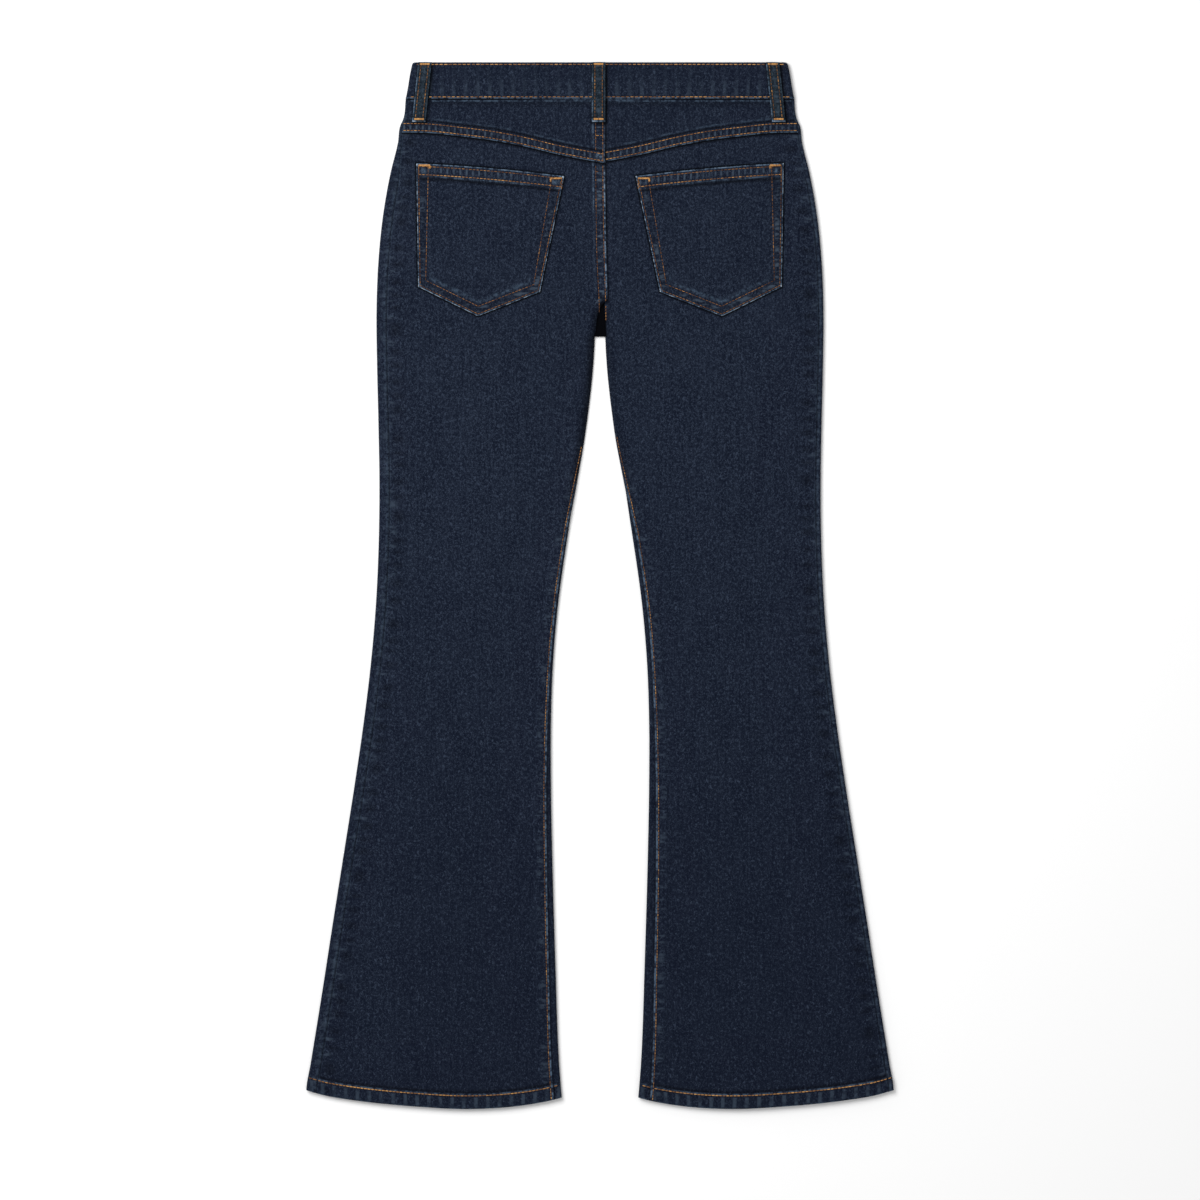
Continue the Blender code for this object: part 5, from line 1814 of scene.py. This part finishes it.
def denim(name, ground, pale_end):
    """Denim from its ground colour: the weave's tone over it, then the worn and the shaded places."""
    material, tree, shader = new_material(name, roughness=0.92, specular=0.05)
    cloth = node(tree, "ShaderNodeUVMap", uv_map="cloth").outputs["UV"]
    weave = node(tree, "ShaderNodeGroup", node_tree=twill)
    fill(tree, weave, {"Cloth": cloth})
    seams = node(tree, "ShaderNodeGroup", node_tree=wear)
    marks = ("Worn", "Ropes", "Ticks across", "Ticks down")
    fill(tree, seams, {mark: attribute(tree, mark.lower().replace(" ", "_")) for mark in marks})
    edge, ticks = seams.outputs["Edge"], seams.outputs["Ticks"]
    level = added(tree, (attribute(tree, "pale"), 0.4), 0.6)
    pocket_shadow_line = remapped(tree, attribute(tree, "beside_pocket"), 0.66, 0.96, 0.0, 0.95)
    layers = (
        (maths(tree, "MULTIPLY", weave.outputs["Tone"], level, clamp=True), pale_end),
        (maths(tree, "MULTIPLY", ticks, 0.8, clamp=True), TICK_BLUE),
        (remapped(tree, edge, 0.0, 1.0), INDIGO_RUBBED),
        (remapped(tree, edge, 0.85, 1.7), BARE_COTTON),
        # Painted shade: the shade mark and the line round each pocket turn the cloth near black where shadow
        # falls.
        (maths(tree, "MAXIMUM", attribute(tree, "shade"), pocket_shadow_line), IN_SHADE),
        (attribute(tree, "wrong_side"), WRONG_SIDE),
    )
    colour = ground
    for share, layer in layers:
        colour = mixed(tree, share, colour, layer)
    woven = bumped(tree, weave.outputs["Height"], 0.6, 0.0005)
    fill(tree, shader, {"Base Color": colour, "Normal": bumped(tree, ticks, 0.5, 0.0006, Normal=woven)})
    return material


looks = {
    "denim": denim("dark indigo denim", INDIGO, INDIGO_PALE),
    "denim_worn": denim("indigo denim of the loops", LOOP_INDIGO, LOOP_PALE),
}
print("materials:", ", ".join(material.name for material in looks.values()))

# %% [markdown]
# ## Thread and button metal
#
# Topstitching thread is thick twisted polyester. Its colour runs from dark tobacco, where it lies in the
# cloth's shadow, to gold, where it catches the light, and the plies slant across each bead. The button is
# brass that has lost part of its lacquer, so it is duller in patches.

# %% Thread and button metal
THREAD_DARK = (0.070, 0.030, 0.014, 1)
THREAD_MIDDLE = (0.225, 0.103, 0.036, 1)
THREAD_GOLD = (0.560, 0.290, 0.095, 1)
BRASS = (0.36, 0.22, 0.11, 1)
BRASS_DULL = (0.20, 0.12, 0.06, 1)


def thread_material():
    """Twisted thread: its tone runs from dark tobacco to gold, and fine slanting plies cross each bead."""
    material, tree, shader = new_material("tobacco thread", roughness=0.7, specular=0.2)
    place = node(tree, "ShaderNodeTexCoord").outputs["Object"]
    patch = remapped(tree, noise(tree, place, (60, 60, 60), 2.0), 0.35, 0.65, -0.2, 0.2)
    tone = maths(tree, "ADD", attribute(tree, "tone"), patch, clamp=True)
    ramp = node(tree, "ShaderNodeValToRGB", {"Fac": tone})
    stops = ramp.color_ramp.elements
    stops[0].color, stops[1].color = THREAD_DARK, THREAD_GOLD
    stops.new(0.5).color = THREAD_MIDDLE
    plies = node(tree, "ShaderNodeTexWave", {"Vector": place, "Scale": 600.0, "Distortion": 1.0},
                 bands_direction="DIAGONAL").outputs["Fac"]
    fill(tree, shader, {"Base Color": ramp.outputs["Color"], "Normal": bumped(tree, plies, 0.4, 0.0002)})
    return material


def button_material():
    """Aged brass: duller and darker in uneven patches, where the lacquer has gone."""
    material, tree, shader = new_material("aged brass")
    place = node(tree, "ShaderNodeTexCoord").outputs["Object"]
    patches = noise(tree, place, (400, 400, 400), 4.0, 0.4)
    colour = mixed(tree, remapped(tree, patches, 0.35, 0.65), BRASS, BRASS_DULL)
    roughness = remapped(tree, patches, 0.3, 0.7, 0.3, 0.5)
    fill(tree, shader, {"Base Color": colour, "Roughness": roughness, "Metallic": 1.0})
    return material


looks["thread"] = thread_material()
looks["button_metal"] = button_material()
for slot, pieces in dressed.items():
    for piece in pieces:
        piece.data.materials.append(looks[slot])
    print(slot, "pieces:", len(pieces))

# %% [markdown]
# ## The floor
#
# The jeans lie on a pale floor, a plain square much larger than they are. It lies 0.3 mm under them, so that
# the two flat faces don't share a plane.

# %% The floor
FLOOR_HALF = 4.0
FLOOR_LEVEL = -0.0003
PALE = (0.96, 0.96, 0.96, 1)


def floor():
    """A square about the origin, whose corners have every pair of signs."""
    signs = ((-1, -1), (1, -1), (1, 1), (-1, 1))
    corners = [(x * FLOOR_HALF, y * FLOOR_HALF, FLOOR_LEVEL) for x, y in signs]
    mesh = bpy.data.meshes.new("floor")
    mesh.from_pydata(corners, [], [(0, 1, 2, 3)])
    material, _, shader = new_material("pale floor", roughness=0.9, specular=0.1)
    shader.inputs["Base Color"].default_value = PALE
    mesh.materials.append(material)
    in_scene("floor", mesh)


floor()
print("floor:", 2 * FLOOR_HALF, "m wide")

# %% [markdown]
# ## The light
#
# A wide soft lamp up to the left gives the laps and the puckers their small shadows on the right, and an
# even white sky lights the rest, as in a studio picture on a white table.

# %% The light
LAMP_PLACE = (-1.3, 0.9, 2.2)
LAMP_WIDTH = 1.8
LAMP_POWER = 58.0
SKY_STRENGTH = 0.62


def soft_light():
    """A round lamp that faces the origin, and a plain sky."""
    lamp = bpy.data.lights.new("window", "AREA")
    lamp.shape, lamp.size, lamp.energy = "DISK", LAMP_WIDTH, LAMP_POWER
    window = in_scene("window", lamp)
    window.location = LAMP_PLACE
    window.rotation_mode = "QUATERNION"
    window.rotation_quaternion = window.location.to_track_quat("Z", "Y")
    world = bpy.data.worlds.new("pale sky")
    world.use_nodes = True
    sky = world.node_tree.nodes["Background"]
    fill(world.node_tree, sky, {"Color": (1, 1, 1, 1), "Strength": SKY_STRENGTH})
    bpy.context.scene.world = world


soft_light()
print("lamp:", LAMP_POWER, "W, sky:", SKY_STRENGTH)

# %% [markdown]
# ## The camera
#
# The garment is seen from straight above through a long lens, which shows both legs alike. The lens and the
# width of the picture give the distance: the sensor is to the lens as the picture's width is to the height.

# %% The camera
PICTURE_WIDTH = 1200 * MM
PICTURE_DOWN = 14.3 * MM


def camera_above():
    """The picture is 1200 mm wide, and its centre lies a little below the garment's."""
    view = bpy.data.cameras.new("camera")
    view.lens = 200.0
    camera = in_scene("camera", view)
    camera.location = (0, -PICTURE_DOWN, PICTURE_WIDTH * view.lens / view.sensor_width)
    bpy.context.scene.camera = camera
    bpy.context.scene.view_settings.view_transform = "Standard"
    return camera


print("camera height:", round(camera_above().location.z, 2), "m")

# %% [markdown]
# ## Each cut piece as a sheet of cloth
#
# Each piece was once flat. Its width across and its length along, before it was sewn and folded, are the
# sizes of the cloth that a cutter would lay out for what shows of it, without the turned allowances. The
# wall is closed, so the cloth's own area is half of the wall's surface.

# %% Flat sizes, in metres
FLAT_SIZES = {
    "back_leg_panel": (0.259, 0.975, "laid"),
    "front_leg_panel": (0.277, 1.010, "laid"),
    "back_yoke": (0.199, 0.066, "laid"),
    "pocket_facing": (0.130, 0.086, "laid"),
    "pocket_patch": (0.148, 0.150, "laid"),
    "loop_strip": (0.0134, 0.0597, "folded"),
    "waist_strip": (0.770, 0.0385, "folded"),
}


def cloth_area(piece):
    """Half the sum of the areas of a wall's faces, in square metres."""
    areas = np.empty(len(piece.data.polygons), np.float32)
    piece.data.polygons.foreach_get("area", areas)
    return float(areas.sum()) / 2


bpy.context.view_layer.update()
for piece in dressed["denim"] + dressed["denim_worn"]:
    kind = next(name for name in FLAT_SIZES if piece.name.startswith(name))
    width, length, held = FLAT_SIZES[kind]
    area = min(cloth_area(piece), width * length)
    print(piece.name, "flat:", width, "by", length, " area:", round(cloth_area(piece), 5))
